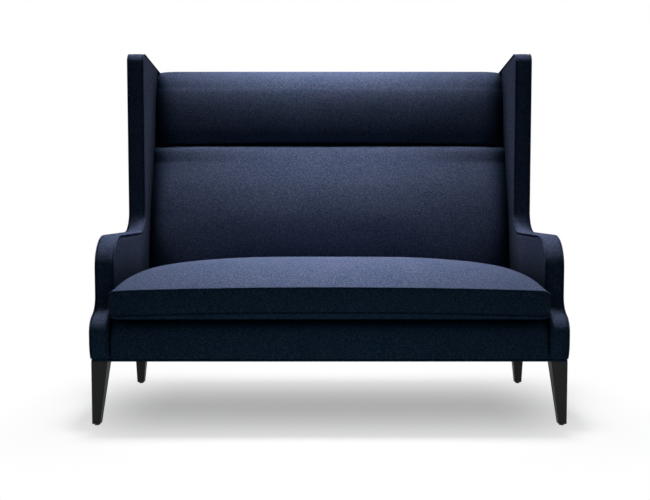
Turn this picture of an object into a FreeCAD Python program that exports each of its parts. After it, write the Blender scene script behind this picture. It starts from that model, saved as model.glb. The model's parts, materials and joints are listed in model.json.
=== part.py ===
import FreeCAD, Part
import math
import operator
import os

import Sketcher

# A high back settee in felt over a timber frame, millimetres.
# +X runs along the seat, the front faces -Y, +Z is up, and the floor is z = 0.
# Left and right are those of someone who looks at the settee from the front.

doc = FreeCAD.newDocument("HighBackSettee")
sheet = doc.addObject("Spreadsheet::Sheet", "Sizes")

DRIVING_SIZES = (
    # overall
    ("overall_width", 1400),
    ("overall_depth", 814),
    ("overall_height", 1174),
    ("leg_height", 190),
    # layers of a side, from the outside to the inside
    ("cover_thickness", 2.5),
    ("outer_wadding", 4),
    ("side_panel", 27),
    ("inner_foam", 20),
    ("facing_foam", 12),
    ("welt_radius", 2.15),
    ("seam_gap", 0.05),
    # outline of a side
    ("cushion_overhang", 48),
    ("base_tuck", 15),
    ("base_tuck_height", 55),
    ("shoulder_rise", 3),
    ("waist_radius", 55),
    ("arm_setback", 73),
    ("arm_height", 555),
    ("arm_nose_radius", 110),
    ("wing_setback", 486),
    ("wing_foot_radius", 72),
    ("wing_top_radius", 32),
    ("wing_top_angle", 5.5),
    ("back_rake_angle", 10.8),
    # seat frame
    ("rail_height", 82),
    ("rail_thickness", 28),
    ("rail_setback", 37),
    ("centre_rail_height", 50),
    ("corner_block_leg", 70),
    ("corner_block_height", 60),
    ("base_welt_height", 7),
    ("base_welt_round", 2.5),
    ("dust_cover_thickness", 1.2),
    # seat springs and deck
    ("spring_count", 8),
    ("spring_bars", 12),
    ("spring_wire", 4),
    ("spring_bar_length", 22),
    ("clip_width", 20),
    ("clip_depth", 16),
    ("clip_height", 10),
    ("clip_slot", 4.6),
    ("insulator_thickness", 3),
    ("deck_height", 318),
    ("rail_cover_setback", 8),
    ("rail_edge_radius", 20),
    # back frame
    ("back_board", 3),
    ("back_frame", 38),
    ("post_width", 45),
    ("post_drop", 30),
    ("back_rail_height", 60),
    ("lower_rail_height", 480),
    ("stile_width", 50),
    ("strap_count", 6),
    ("strap_width", 60),
    ("strap_thickness", 2),
    # upholstery of the back
    ("crease_height", 866),
    ("crease_foam", 6),
    ("lower_pad_foam", 70),
    ("lower_pad_round", 261),
    ("lower_pad_crown", 25),
    ("bolster_foam", 20),
    ("bolster_crown", 25),
    ("bolster_under_roll", 62),
    ("bolster_top_roll", 70),
    ("bolster_top_inset", 35),
    ("bolster_top_drop", 1.2),
    # seat cushion
    ("cushion_crown", 70),
    ("cushion_border", 76),
    ("cushion_seam_rise", 14),
    ("cushion_border_bulge", 5),
    ("cushion_back_gap", 5),
    ("cushion_side_gap", 0.5),
    ("cushion_corner", 3),
    ("zip_end_inset", 75.2),
    ("zip_height", 8),
    ("zip_thickness", 1.5),
    ("slider_length", 24),
    ("slider_height", 12),
    # legs and fasteners
    ("leg_top", 48),
    ("leg_foot", 24),
    ("leg_side_inset", 0.6),
    ("leg_splay", 0),
    ("leg_front_inset", 13),
    ("leg_rear_inset", 6),
    ("back_leg_kick", 15),
    ("leg_edge_round", 2),
    ("glide_radius", 7.5),
    ("glide_height", 5),
    ("bolt_radius", 3),
    ("bolt_reach", 18),
    ("bolt_inset", 8.2),
    ("insert_radius", 5),
    ("fit_gap", 0.1),
    ("dowel_radius", 5),
    ("dowel_reach", 34),
    ("dowel_clearance", 4),
    ("dowel_spacing", 30),
    # clearances
    ("soft_gap", 0.3),
)

for row, (alias, value) in enumerate(DRIVING_SIZES, start=1):
    sheet.set(f"A{row}", alias)
    sheet.set(f"B{row}", str(value))
    sheet.setAlias(f"B{row}", alias)
doc.recompute()


class Size:
    """A number together with the sheet expression that gives it."""

    def __init__(self, value, text):
        self.value = float(value)
        self.text = text

    def __float__(self):
        return self.value

    def __add__(self, other):
        return joined(self, "+", other)

    def __radd__(self, other):
        return joined(other, "+", self)

    def __sub__(self, other):
        return joined(self, "-", other)

    def __rsub__(self, other):
        return joined(other, "-", self)

    def __mul__(self, other):
        return joined(self, "*", other)

    def __rmul__(self, other):
        return joined(other, "*", self)

    def __truediv__(self, other):
        return joined(self, "/", other)

    def __rtruediv__(self, other):
        return joined(other, "/", self)

    def __neg__(self):
        return joined(0, "-", self)


SIGNS = {"+": operator.add, "-": operator.sub, "*": operator.mul, "/": operator.truediv}


def as_size(number):
    """A plain number as a Size."""
    if isinstance(number, Size):
        return number
    return Size(number, f"({number})")


def joined(left, sign, right):
    """Two sizes under one sign."""
    left = as_size(left)
    right = as_size(right)
    value = SIGNS[sign](left.value, right.value)
    return Size(value, f"({left.text} {sign} {right.text})")


def sine(angle):
    return Size(math.sin(math.radians(float(angle))), f"sin({angle.text})")


def cosine(angle):
    return Size(math.cos(math.radians(float(angle))), f"cos({angle.text})")


def tangent(angle):
    return Size(math.tan(math.radians(float(angle))), f"tan({angle.text})")


def root(number):
    return Size(math.sqrt(float(number)), f"sqrt({number.text})")


class Sizes:
    """The driving sizes by name, each read from the sheet."""

    def __getattr__(self, alias):
        return Size(sheet.get(alias), f"Sizes.{alias}")


S = Sizes()
SIDES = (("left", -1), ("right", 1))
nodes = []

# Planes and levels that several pieces share.

welt_proud = 2 * S.welt_radius + S.seam_gap - S.cover_thickness
welt_inset = S.cover_thickness - S.seam_gap - S.welt_radius
side_outer = S.overall_width / 2 - welt_proud
side_top = S.overall_height - welt_proud
wadding_face = side_outer - S.cover_thickness
panel_outer = wadding_face - S.outer_wadding
panel_inner = panel_outer - S.side_panel
inner_foam_face = panel_inner - S.inner_foam
side_inner = inner_foam_face - S.cover_thickness
soft_inset = S.cover_thickness + S.facing_foam

seat_front = -S.overall_depth / 2
rear = S.overall_depth / 2
base_front = seat_front + S.cushion_overhang
nose_front = base_front + S.arm_setback
wing_front = base_front + S.wing_setback
cover_bottom = S.leg_height + S.base_welt_height
rail_top = S.leg_height + S.rail_height
shoulder = rail_top + S.shoulder_rise

rake_slope = tangent(S.back_rake_angle)
top_slope = tangent(S.wing_top_angle)
board_inset = S.cover_thickness + S.back_board
frame_inset = board_inset + S.back_frame
foam_inset = frame_inset + S.strap_thickness

tuck_radius = (S.base_tuck_height * S.base_tuck_height + S.base_tuck * S.base_tuck) / (2 * S.base_tuck)
waist_cosine = 1 - S.arm_setback / (2 * S.waist_radius)
waist_sine = root(1 - waist_cosine * waist_cosine)
top_centre = (wing_front + S.wing_top_radius, side_top - S.wing_top_radius)
rear_top = (
    top_centre[1]
    + S.wing_top_radius * cosine(S.wing_top_angle)
    - (rear - top_centre[0] - S.wing_top_radius * sine(S.wing_top_angle)) * top_slope
)


def raked(height, inset):
    """Where the raked rear plane, moved forward by an inset, stands at a height."""
    return rear - (rear_top - height) * rake_slope - inset / cosine(S.back_rake_angle)


def front_at(height, inset):
    """Where the tucked foot of a side stands at a height."""
    run = tuck_radius - inset
    rise = S.leg_height + S.base_tuck_height - height
    return base_front + tuck_radius - root(run * run - rise * rise)


# A path is a list of (point, centre): the centre of the arc that leads to the point, or None.


def side_path(inset, rear_inset, bottom=None):
    """The front and top edge of a side, from its foot to its rear corner, moved in by an inset."""
    waist = S.waist_radius
    tuck_top = S.leg_height + S.base_tuck_height
    lower = (base_front + waist, shoulder)
    upper = (lower[0] - 2 * waist * waist_cosine, lower[1] + 2 * waist * waist_sine)
    nose = (nose_front + S.arm_nose_radius, S.arm_height - S.arm_nose_radius)
    foot = (wing_front - S.wing_foot_radius, S.arm_height + S.wing_foot_radius)
    crown = S.wing_top_radius - inset
    crown_end = (
        top_centre[0] + crown * sine(S.wing_top_angle),
        top_centre[1] + crown * cosine(S.wing_top_angle),
    )
    rear_line = raked(as_size(0), rear_inset)
    corner_z = (crown_end[1] - (rear_line - crown_end[0]) * top_slope) / (1 + rake_slope * top_slope)
    corner = (rear_line + corner_z * rake_slope, corner_z)
    if bottom is None:
        path = [((front_at(cover_bottom, inset), cover_bottom), None)]
        path.append(((base_front + inset, tuck_top), (base_front + tuck_radius, tuck_top)))
    else:
        path = [((base_front + inset, bottom), None)]
    path += [
        ((base_front + inset, shoulder), None),
        ((lower[0] - (waist - inset) * waist_cosine, lower[1] + (waist - inset) * waist_sine), lower),
        ((upper[0] + waist + inset, upper[1]), upper),
        ((nose_front + inset, nose[1]), None),
        ((nose[0], S.arm_height - inset), nose),
        ((foot[0], S.arm_height - inset), None),
        ((wing_front + inset, foot[1]), foot),
        ((wing_front + inset, top_centre[1]), None),
        (crown_end, top_centre),
        (corner, None),
    ]
    return path


def turned(path):
    """A path walked the other way."""
    points = [point for point, centre in path][::-1]
    centres = [None] + [centre for point, centre in path[1:]][::-1]
    return list(zip(points, centres))


def polygon(*points):
    """A path of straight lines."""
    return [(point, None) for point in points]


def side_outline(inset, rear_inset, bottom):
    """A side's whole outline, closed along its raked rear and its foot."""
    path = side_path(inset, rear_inset, bottom)
    start = path[0][0][1]
    return path + polygon((raked(start, rear_inset), start))


def raked_outline(bottom, top, near, far):
    """A board in the plane of the back, between two insets from the rear."""
    return polygon(
        (raked(bottom, far), bottom),
        (raked(bottom, near), bottom),
        (raked(top, near), top),
        (raked(top, far), top),
    )


def bind(thing, name, size):
    """Tie a property to the sheet."""
    thing.setExpression(name, as_size(size).text)


def origin_plane(body, role):
    return [plane for plane in body.Origin.OriginFeatures if plane.Role == role][0]


def pin(sketch, kind, element, end, size):
    """Fix one coordinate of a sketch point to a size."""
    number = sketch.addConstraint(Sketcher.Constraint(kind, -1, 1, element, end, float(size)))
    bind(sketch, f"Constraints[{number}]", size)


def arc_between(first, last, centre):
    """The short arc between two points, and whether it starts at the first of them."""
    angles = []
    for point in (first, last):
        angles.append(math.atan2(float(point[1]) - float(centre[1]), float(point[0]) - float(centre[0])))
    ahead = math.remainder(angles[1] - angles[0], math.tau) > 0
    middle = FreeCAD.Vector(float(centre[0]), float(centre[1]), 0)
    reach = math.hypot(float(first[0]) - middle.x, float(first[1]) - middle.y)
    circle = Part.Circle(middle, FreeCAD.Vector(0, 0, 1), reach)
    low, high = angles if ahead else angles[::-1]
    return Part.ArcOfCircle(circle, low, high), ahead


def draw(sketch, path):
    """Draw a closed path in a sketch, with every point and radius tied to the sheet."""
    ends = []
    for index, (last, centre) in enumerate(path):
        first = path[index - 1][0]
        if centre is None:
            corners = [FreeCAD.Vector(float(point[0]), float(point[1]), 0) for point in (first, last)]
            element = sketch.addGeometry(Part.LineSegment(*corners), False)
            ends.append((element, 1, 2))
            continue
        arc, ahead = arc_between(first, last, centre)
        element = sketch.addGeometry(arc, False)
        ends.append((element, 1, 2) if ahead else (element, 2, 1))
        width = last[0] - centre[0]
        height = last[1] - centre[1]
        number = sketch.addConstraint(Sketcher.Constraint("Radius", element, arc.Radius))
        bind(sketch, f"Constraints[{number}]", root(width * width + height * height))
    for index, (element, start, finish) in enumerate(ends):
        before = ends[index - 1]
        sketch.addConstraint(Sketcher.Constraint("Coincident", before[0], before[2], element, start))
        pin(sketch, "DistanceX", element, finish, path[index][0][0])
        pin(sketch, "DistanceY", element, finish, path[index][0][1])


def draw_hole(sketch, centre, radius):
    """Draw a round hole in a sketch."""
    middle = FreeCAD.Vector(float(centre[0]), float(centre[1]), 0)
    element = sketch.addGeometry(Part.Circle(middle, FreeCAD.Vector(0, 0, 1), float(radius)), False)
    number = sketch.addConstraint(Sketcher.Constraint("Radius", element, float(radius)))
    bind(sketch, f"Constraints[{number}]", radius)
    pin(sketch, "DistanceX", element, 3, centre[0])
    pin(sketch, "DistanceY", element, 3, centre[1])


def node(label, thing):
    """Name a sub-part and list it for the export."""
    thing.Label = label
    nodes.append(thing)
    return thing


def profile(name, role, paths, low, high, holes=()):
    """A body padded from closed paths on a plane, between two distances along its normal."""
    body = doc.addObject("PartDesign::Body", name)
    sketch = body.newObject("Sketcher::SketchObject", name + "_sketch")
    sketch.AttachmentSupport = [(origin_plane(body, role), "")]
    sketch.MapMode = "FlatFace"
    for path in paths:
        draw(sketch, path)
    for centre, radius in holes:
        draw_hole(sketch, centre, radius)
    bind(sketch, "AttachmentOffset.Base.z", low)
    pad = body.newObject("PartDesign::Pad", name + "_run")
    pad.Profile = sketch
    bind(pad, "Length", high - low)
    body.Tip = pad
    return body


def across(name, path, low, high, holes=()):
    """A piece with one outline in the side view, from one x to another."""
    return profile(name, "YZ_Plane", [path], low, high, holes)


def on_side(name, sign, path, inner, outer, holes=()):
    """The same for a piece of the left or right side, given by its inner and outer faces."""
    low, high = (inner, outer) if sign > 0 else (-outer, -inner)
    return across(name, path, low, high, holes)


def block(name, x, y, z):
    """A box between three pairs of faces."""
    box = doc.addObject("Part::Box", name)
    for size, place, (low, high) in (("Length", "x", x), ("Width", "y", y), ("Height", "z", z)):
        bind(box, size, as_size(high) - low)
        bind(box, f"Placement.Base.{place}", low)
    return box


def rod(name, radius, length, centre, along="z"):
    """A round bar that starts at a point and runs up or along x."""
    bar = doc.addObject("Part::Cylinder", name)
    if along == "x":
        bar.Placement.Rotation = FreeCAD.Rotation(FreeCAD.Vector(0, 1, 0), 90)
    bind(bar, "Radius", radius)
    bind(bar, "Height", length)
    for place, size in zip("xyz", centre):
        bind(bar, f"Placement.Base.{place}", size)
    return bar


def group(name, members):
    """Separate solids in one node."""
    compound = doc.addObject("Part::Compound", name)
    compound.Links = members
    return compound


def drilled(name, blank, drills):
    """A blank less its drills."""
    cut = doc.addObject("Part::Cut", name)
    cut.Base = blank
    cut.Tool = group(name + "_drills", drills)
    return cut


def shaped(name, shape):
    """A form that only a loft or a sweep gives."""
    form = doc.addObject("Part::Feature", name)
    form.Shape = shape
    return form


def wire_through(points):
    """A wire at one x: each entry is a corner, or a middle and an end for an arc."""
    edges = []
    start = points[-1][-1]
    for entry in points:
        if len(entry) == 1:
            edges.append(Part.LineSegment(start, entry[0]).toShape())
        else:
            edges.append(Part.Arc(start, entry[0], entry[1]).toShape())
        start = entry[-1]
    return Part.Wire(edges)


def path_wire(path, x):
    """A path of the side view as a wire at one x."""
    edges = []
    for (first, unused), (last, centre) in zip(path, path[1:]):
        ends = [FreeCAD.Vector(float(x), float(point[0]), float(point[1])) for point in (first, last)]
        if centre is None:
            edges.append(Part.LineSegment(*ends).toShape())
            continue
        middle = FreeCAD.Vector(float(x), float(centre[0]), float(centre[1]))
        half_way = ends[0] + ends[1] - middle * 2
        bulge = middle + half_way.normalize() * (ends[0] - middle).Length
        edges.append(Part.Arc(ends[0], bulge, ends[1]).toShape())
    return Part.Wire(edges)


def tube(wire, radius):
    """A round tube along a wire, checked against its section times its length."""
    first = wire.OrderedEdges[0]
    start = first.valueAt(first.FirstParameter)
    heading = first.tangentAt(first.FirstParameter)
    if first.Orientation == "Reversed":
        start = first.valueAt(first.LastParameter)
        heading = first.tangentAt(first.LastParameter) * -1
    ring = Part.Wire(Part.makeCircle(radius, start, heading))
    solid = wire.makePipeShell([ring], True, False)
    expected = math.pi * radius * radius * wire.Length
    if abs(solid.Volume / expected - 1) > 0.01:
        raise ValueError(f"a tube holds {solid.Volume:.0f} instead of {expected:.0f}")
    return solid


# Sides: a panel each, its foam, wadding and felt, the padded facing and its two welts.


def make_side(side, sign):
    dowels = []
    for level in dowel_levels():
        dowels.append(((rail_middle, level), S.dowel_radius + S.fit_gap))
        dowels.append(((post_middle(level), level), S.dowel_radius + S.fit_gap))
    panel = side_outline(soft_inset, board_inset, None)
    panel[0] = ((front_at(S.leg_height, soft_inset), S.leg_height), None)
    panel[-1] = ((raked(S.leg_height, board_inset), S.leg_height), None)
    node(
        f"side_frame_{side}",
        on_side(f"side_frame_{side}", sign, panel, panel_inner, panel_outer, dowels),
    )
    layers = (
        ("side_inner_pad", soft_inset, frame_inset, rail_top, inner_foam_face, panel_inner),
        ("inside_cover", S.cover_thickness, frame_inset, rail_top, side_inner, inner_foam_face),
        ("side_outer_wadding", soft_inset, S.cover_thickness, None, panel_outer, wadding_face),
        ("outside_cover", S.cover_thickness, as_size(0), None, wadding_face, side_outer),
    )
    for name, inset, rear_inset, bottom, inner, outer in layers:
        outline = side_outline(inset, rear_inset, bottom)
        node(f"{name}_{side}", on_side(f"{name}_{side}", sign, outline, inner, outer))
    bands = (
        ("facing_pad", S.cover_thickness, soft_inset),
        ("facing_cover", as_size(0), S.cover_thickness),
    )
    for name, near, far in bands:
        outline = side_path(near, board_inset) + turned(side_path(far, board_inset))
        node(f"{name}_{side}", on_side(f"{name}_{side}", sign, outline, inner_foam_face, wadding_face))
    edges = []
    path = side_path(welt_inset, board_inset)
    start = cover_bottom + S.welt_radius
    path[0] = ((front_at(start, welt_inset), start), None)
    for x in (side_inner + welt_inset, side_outer - welt_inset):
        edges.append(tube(path_wire(path, sign * x), float(S.welt_radius)))
    node(f"facing_welts_{side}", shaped(f"facing_welts_{side}", Part.makeCompound(edges)))


# Seat frame: four rails and a middle one, corner blocks and the dowels.

rail_middle = base_front + S.rail_setback + S.rail_thickness / 2


def dowel_levels():
    """Heights of the dowels in a rail's end, above the leg's bolt."""
    lowest = S.leg_height + S.bolt_reach + S.dowel_clearance + S.dowel_radius
    return (lowest, lowest + S.dowel_spacing)


def post_middle(level):
    """The middle of a back post at a height."""
    return raked(level, board_inset + S.back_frame / 2)


def bolt_points():
    """The four leg bolts, as x, y and whether at the front."""
    points = []
    for side, sign in SIDES:
        x = sign * (panel_inner - S.bolt_inset)
        points.append((f"front_{side}", x, rail_middle))
        points.append((f"back_{side}", x, post_middle(S.leg_height + S.bolt_reach / 2)))
    return points


def insert_drill(name, x, y):
    """A hole for a threaded insert in the underside of the frame."""
    return rod(name, S.insert_radius + S.fit_gap, S.bolt_reach, (x, y, S.leg_height))


def make_seat_frame():
    front = base_front + S.rail_setback
    inner_front = front + S.rail_thickness
    back_inset = frame_inset + S.rail_thickness
    drills = []
    for side, sign in SIDES:
        reach = S.dowel_reach + S.fit_gap
        start = panel_inner - reach if sign > 0 else -panel_inner
        for index, level in enumerate(dowel_levels()):
            centre = (start, rail_middle, level)
            radius = S.dowel_radius + S.fit_gap
            drills.append(rod(f"rail_drill_{side}_{index}", radius, reach, centre, "x"))
    for name, x, y in bolt_points():
        if name.startswith("front"):
            drills.append(insert_drill(f"rail_insert_{name}", x, y))
    width = (-panel_inner, panel_inner)
    blank = block("front_rail_blank", width, (front, inner_front), (S.leg_height, rail_top))
    node("front_seat_rail", drilled("front_seat_rail", blank, drills))

    outline = raked_outline(S.leg_height, rail_top, frame_inset, back_inset)
    node("back_seat_rail", across("back_seat_rail", outline, -panel_inner, panel_inner))

    def lengthwise(top):
        return polygon(
            (inner_front, S.leg_height),
            (raked(S.leg_height, back_inset), S.leg_height),
            (raked(top, back_inset), top),
            (inner_front, top),
        )

    for side, sign in SIDES:
        name = f"side_seat_rail_{side}"
        inner = panel_inner - S.rail_thickness
        node(name, on_side(name, sign, lengthwise(rail_top), inner, panel_inner))
    half = S.rail_thickness / 2
    middle_top = S.leg_height + S.centre_rail_height
    node("centre_seat_rail", across("centre_seat_rail", lengthwise(middle_top), -half, half))

    blocks = []
    reach = S.corner_block_leg
    top = S.leg_height + S.corner_block_height
    rear_face = raked(S.leg_height, back_inset)
    for side, sign in SIDES:
        x = sign * (panel_inner - S.rail_thickness)
        for place, y, inward in (("front", inner_front, 1), ("back", rear_face, -1)):
            corners = polygon((x, y), (x - sign * reach, y), (x, y + inward * reach))
            name = f"corner_block_{place}_{side}"
            blocks.append(profile(name, "XY_Plane", [corners], S.leg_height, top))
    node("corner_blocks", group("corner_blocks", blocks))

    dowels = []
    for side, sign in SIDES:
        for index, level in enumerate(dowel_levels()):
            for place, y, inner in (
                ("front", rail_middle, panel_inner - S.dowel_reach),
                ("back", post_middle(level), panel_inner - S.post_width),
            ):
                start = inner if sign > 0 else -panel_outer
                name = f"dowel_{place}_{side}_{index}"
                dowels.append(rod(name, S.dowel_radius, panel_outer - inner, (start, y, level), "x"))
    node("frame_dowels", group("frame_dowels", dowels))


def make_base_trim():
    """The cloth under the frame and the welt round its foot."""
    front = front_at(cover_bottom, as_size(0))
    welt = S.cover_thickness + S.outer_wadding
    back = raked(cover_bottom, as_size(0))
    back_inner = raked(cover_bottom, board_inset)
    edge = side_outer
    outer = polygon((-edge, front), (edge, front), (edge, back), (-edge, back))
    hollow = edge - welt
    front_inner = front + welt
    inner = polygon(
        (-hollow, front_inner),
        (hollow, front_inner),
        (hollow, back_inner),
        (-hollow, back_inner),
    )
    ring = profile("base_welt", "XY_Plane", [outer, inner], S.leg_height, cover_bottom)
    doc.recompute()
    picked = []
    near = float(S.base_welt_round) / 2
    for index, edge_shape in enumerate(ring.Shape.Edges, start=1):
        box = edge_shape.BoundBox
        low = box.ZMax < float(S.leg_height) + near
        outside = max(abs(box.XMin), abs(box.XMax)) > float(edge) - near
        if low and outside:
            picked.append(f"Edge{index}")
    run = ring.Tip
    rounding = ring.newObject("PartDesign::Fillet", "base_welt_rounding")
    rounding.Base = (run, picked)
    bind(rounding, "Radius", S.base_welt_round)
    ring.Tip = rounding
    node("base_welt", ring)

    reach = side_outer - S.leg_side_inset - S.leg_top - S.soft_gap
    depth = (base_front + S.rail_setback, raked(S.leg_height, board_inset))
    level = (S.leg_height - S.dust_cover_thickness, S.leg_height)
    node("dust_cover", block("dust_cover", (-reach, reach), depth, level))


# Seat suspension: zigzag springs in clips, a felt sheet, the deck foam and its cloth.

clip_top = rail_top + S.clip_height
spring_level = rail_top + S.clip_height / 2
rear_clip = raked(rail_top, frame_inset + S.rail_thickness / 2)
deck_top = S.deck_height - S.soft_gap
deck_rear = raked(rail_top, foam_inset)


def spring_places():
    """The middle of each spring along the seat."""
    count = int(round(float(S.spring_count)))
    return [(index + 0.5) / count * 2 * side_inner - side_inner for index in range(count)]


def zigzag(x):
    """One spring's wire: cross bars joined by half turns."""
    bars = int(round(float(S.spring_bars)))
    start = float(rail_middle)
    pitch = (float(rear_clip) - start) / (bars - 1)
    half = float(S.spring_bar_length) / 2
    level = float(spring_level)
    edges = []
    for bar in range(bars):
        sign = 1 if bar % 2 == 0 else -1
        y = start + bar * pitch
        first = FreeCAD.Vector(x - sign * half, y, level)
        last = FreeCAD.Vector(x + sign * half, y, level)
        edges.append(Part.LineSegment(first, last).toShape())
        if bar < bars - 1:
            bend = FreeCAD.Vector(x + sign * (half + pitch / 2), y + pitch / 2, level)
            turn_end = FreeCAD.Vector(x + sign * half, y + pitch, level)
            edges.append(Part.Arc(last, bend, turn_end).toShape())
    return Part.Wire(edges)


def make_springs():
    springs = [tube(zigzag(float(x)), float(S.spring_wire) / 2) for x in spring_places()]
    node("seat_springs", shaped("seat_springs", Part.makeCompound(springs)))
    clips = []
    half = S.clip_width / 2
    for index, x in enumerate(spring_places()):
        for place, y in (("front", rail_middle), ("back", rear_clip)):
            depth = (y - S.clip_depth / 2, y + S.clip_depth / 2)
            name = f"clip_{place}_{index}"
            body = block(name + "_body", (x - half, x + half), depth, (rail_top, clip_top))
            width = (x - S.clip_width, x + S.clip_width)
            slot_depth = (y - S.clip_slot / 2, y + S.clip_slot / 2)
            slot_level = (spring_level - S.clip_slot / 2, spring_level + S.clip_slot / 2)
            bend = block(name + "_slot", width, slot_depth, slot_level)
            clips.append(drilled(name, body, [bend]))
    node("spring_clips", group("spring_clips", clips))


def make_deck():
    front = base_front + S.rail_setback
    width = (-side_inner, side_inner)
    sheet_top = clip_top + S.insulator_thickness
    foam_top = deck_top - S.cover_thickness
    node("spring_insulator", block("spring_insulator", width, (front, deck_rear), (clip_top, sheet_top)))
    node("deck_pad", block("deck_pad", width, (front, deck_rear), (sheet_top, foam_top)))
    cover_front = base_front + S.rail_cover_setback + S.rail_edge_radius
    node("deck_cover", block("deck_cover", width, (cover_front, deck_rear), (foam_top, deck_top)))

    face = base_front + S.rail_cover_setback
    inner_face = face + S.cover_thickness
    centre = (face + S.rail_edge_radius, deck_top - S.rail_edge_radius)
    reach = side_inner - welt_proud - S.soft_gap
    skin = [
        ((face, cover_bottom), None),
        ((face, centre[1]), None),
        ((centre[0], deck_top), centre),
        ((centre[0], foam_top), None),
        ((inner_face, centre[1]), centre),
        ((inner_face, cover_bottom), None),
    ]
    node("front_rail_cover", across("front_rail_cover", skin, -reach, reach))
    roll = [
        ((inner_face, cover_bottom), None),
        ((inner_face, centre[1]), None),
        ((centre[0], foam_top), centre),
        ((front, foam_top), None),
        ((front, cover_bottom), None),
    ]
    node("front_edge_roll", across("front_edge_roll", roll, -reach, reach))


# Back frame: two posts, three rails, a middle stile, straps, the board and the felt behind.

post_top = rear_top - S.post_drop


def back_rail_levels():
    """The foot of each back rail, from the lowest to the highest."""
    return (
        ("lower_back_rail", S.lower_rail_height),
        ("mid_back_rail", S.crease_height - S.back_rail_height / 2),
        ("top_back_rail", post_top - S.back_rail_height),
    )


def make_back_frame():
    inner = panel_inner - S.post_width
    radius = S.dowel_radius + S.fit_gap
    outline = raked_outline(S.leg_height, post_top, board_inset, frame_inset)
    for side, sign in SIDES:
        holes = [((post_middle(level), level), radius) for level in dowel_levels()]
        blank = on_side(f"post_blank_{side}", sign, outline, inner, panel_inner, holes)
        drills = []
        for name, x, y in bolt_points():
            if name == f"back_{side}":
                drills.append(insert_drill(f"post_insert_{side}", x, y))
        node(f"back_post_{side}", drilled(f"back_post_{side}", blank, drills))
    foot = rail_top
    stiles = []
    half = S.stile_width / 2
    for name, level in back_rail_levels():
        rail = raked_outline(level, level + S.back_rail_height, board_inset, frame_inset)
        node(name, across(name, rail, -inner, inner))
        stile = raked_outline(foot, level, board_inset, frame_inset)
        stiles.append(across(f"stile_below_{name}", stile, -half, half))
        foot = level + S.back_rail_height
    stiles.append(stile_foot(half))
    node("centre_stile", group("centre_stile", stiles))

    straps = []
    count = int(round(float(S.strap_count)))
    outline = raked_outline(S.lower_rail_height, post_top, frame_inset, foam_inset)
    for index in range(count):
        x = (index + 0.5) / count * 2 * inner - inner
        width = (x - S.strap_width / 2, x + S.strap_width / 2)
        straps.append(across(f"strap_{index}", outline, *width))
    node("back_webbing", group("back_webbing", straps))

    corner = side_path(as_size(0), as_size(0))[-1][0]
    cover_corner = side_path(as_size(0), S.cover_thickness)[-1][0]
    board_corner = side_path(S.cover_thickness, S.cover_thickness)[-1][0]
    board_front = side_path(S.cover_thickness, board_inset)[-1][0]
    skin = polygon(
        (raked(cover_bottom, S.cover_thickness), cover_bottom),
        (raked(cover_bottom, as_size(0)), cover_bottom),
        corner,
        cover_corner,
    )
    node("outside_back_cover", across("outside_back_cover", skin, -wadding_face, wadding_face))
    board = polygon(
        (raked(cover_bottom, board_inset), cover_bottom),
        (raked(cover_bottom, S.cover_thickness), cover_bottom),
        board_corner,
        board_front,
    )
    node("back_board", across("back_board", board, -panel_outer, panel_outer))


def stile_foot(half):
    """The short foot of the middle stile, behind the back rail of the seat."""
    outline = raked_outline(S.leg_height, rail_top, board_inset, frame_inset)
    return across("stile_foot", outline, -half, half)


# Upholstery of the back: each pad is a loft across the seat, and its cover is a skin on it.

pad_half = side_inner - welt_proud - S.soft_gap
pad_foot = raked(S.deck_height + S.soft_gap, foam_inset + S.soft_gap) - S.lower_pad_foam

# How full the lower pad still is half-way up its rounding, and where the bolster turns out of the crease.
PAD_BELLY = 0.62
UNDER_TURN_HEIGHT = 0.3
UNDER_TURN_FOAM = 0.7
HALF_TURN = math.sqrt(0.5)

# How far a cover's hollow runs past the foam, so that the cover stays open behind.
HOLLOW_OVERRUN = 5.0


def crowned(section, skin, reach):
    """A loft through a section at both ends and in the middle, where it is fullest."""
    half = float(pad_half) + reach
    wires = []
    for x in (-half, 0, half):
        fullness = 1 - (x / float(pad_half)) ** 2
        wires.append(wire_through(section(x, fullness, skin, reach)))
    return Part.makeLoft(wires, True, False)


def foam_point(x, height, foam, reach=0.0):
    """A point in front of the back frame: foam counts forward from the straps."""
    return FreeCAD.Vector(x, float(raked(as_size(height), foam_inset + S.soft_gap)) - foam + reach, height)


def lower_pad_section(x, fullness, skin, reach):
    """The lower pad in side view: even foam, rounded off up to the crease."""
    bottom = float(S.deck_height) + float(S.soft_gap) - reach
    crease = float(S.crease_height) - float(S.soft_gap) - skin
    shoulder_level = float(S.crease_height - S.lower_pad_round)
    middle_level = (shoulder_level + crease) / 2
    foam = float(S.lower_pad_foam) - skin
    crown = float(S.lower_pad_crown) * fullness
    edge = float(S.crease_foam) - skin
    middle_foam = edge + (foam - edge) * PAD_BELLY
    return (
        (foam_point(x, bottom, foam),),
        (foam_point(x, shoulder_level, foam + crown),),
        (foam_point(x, middle_level, middle_foam + crown), foam_point(x, crease, edge)),
        (foam_point(x, crease, 0.0, reach),),
        (foam_point(x, bottom, 0.0, reach),),
    )


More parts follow.
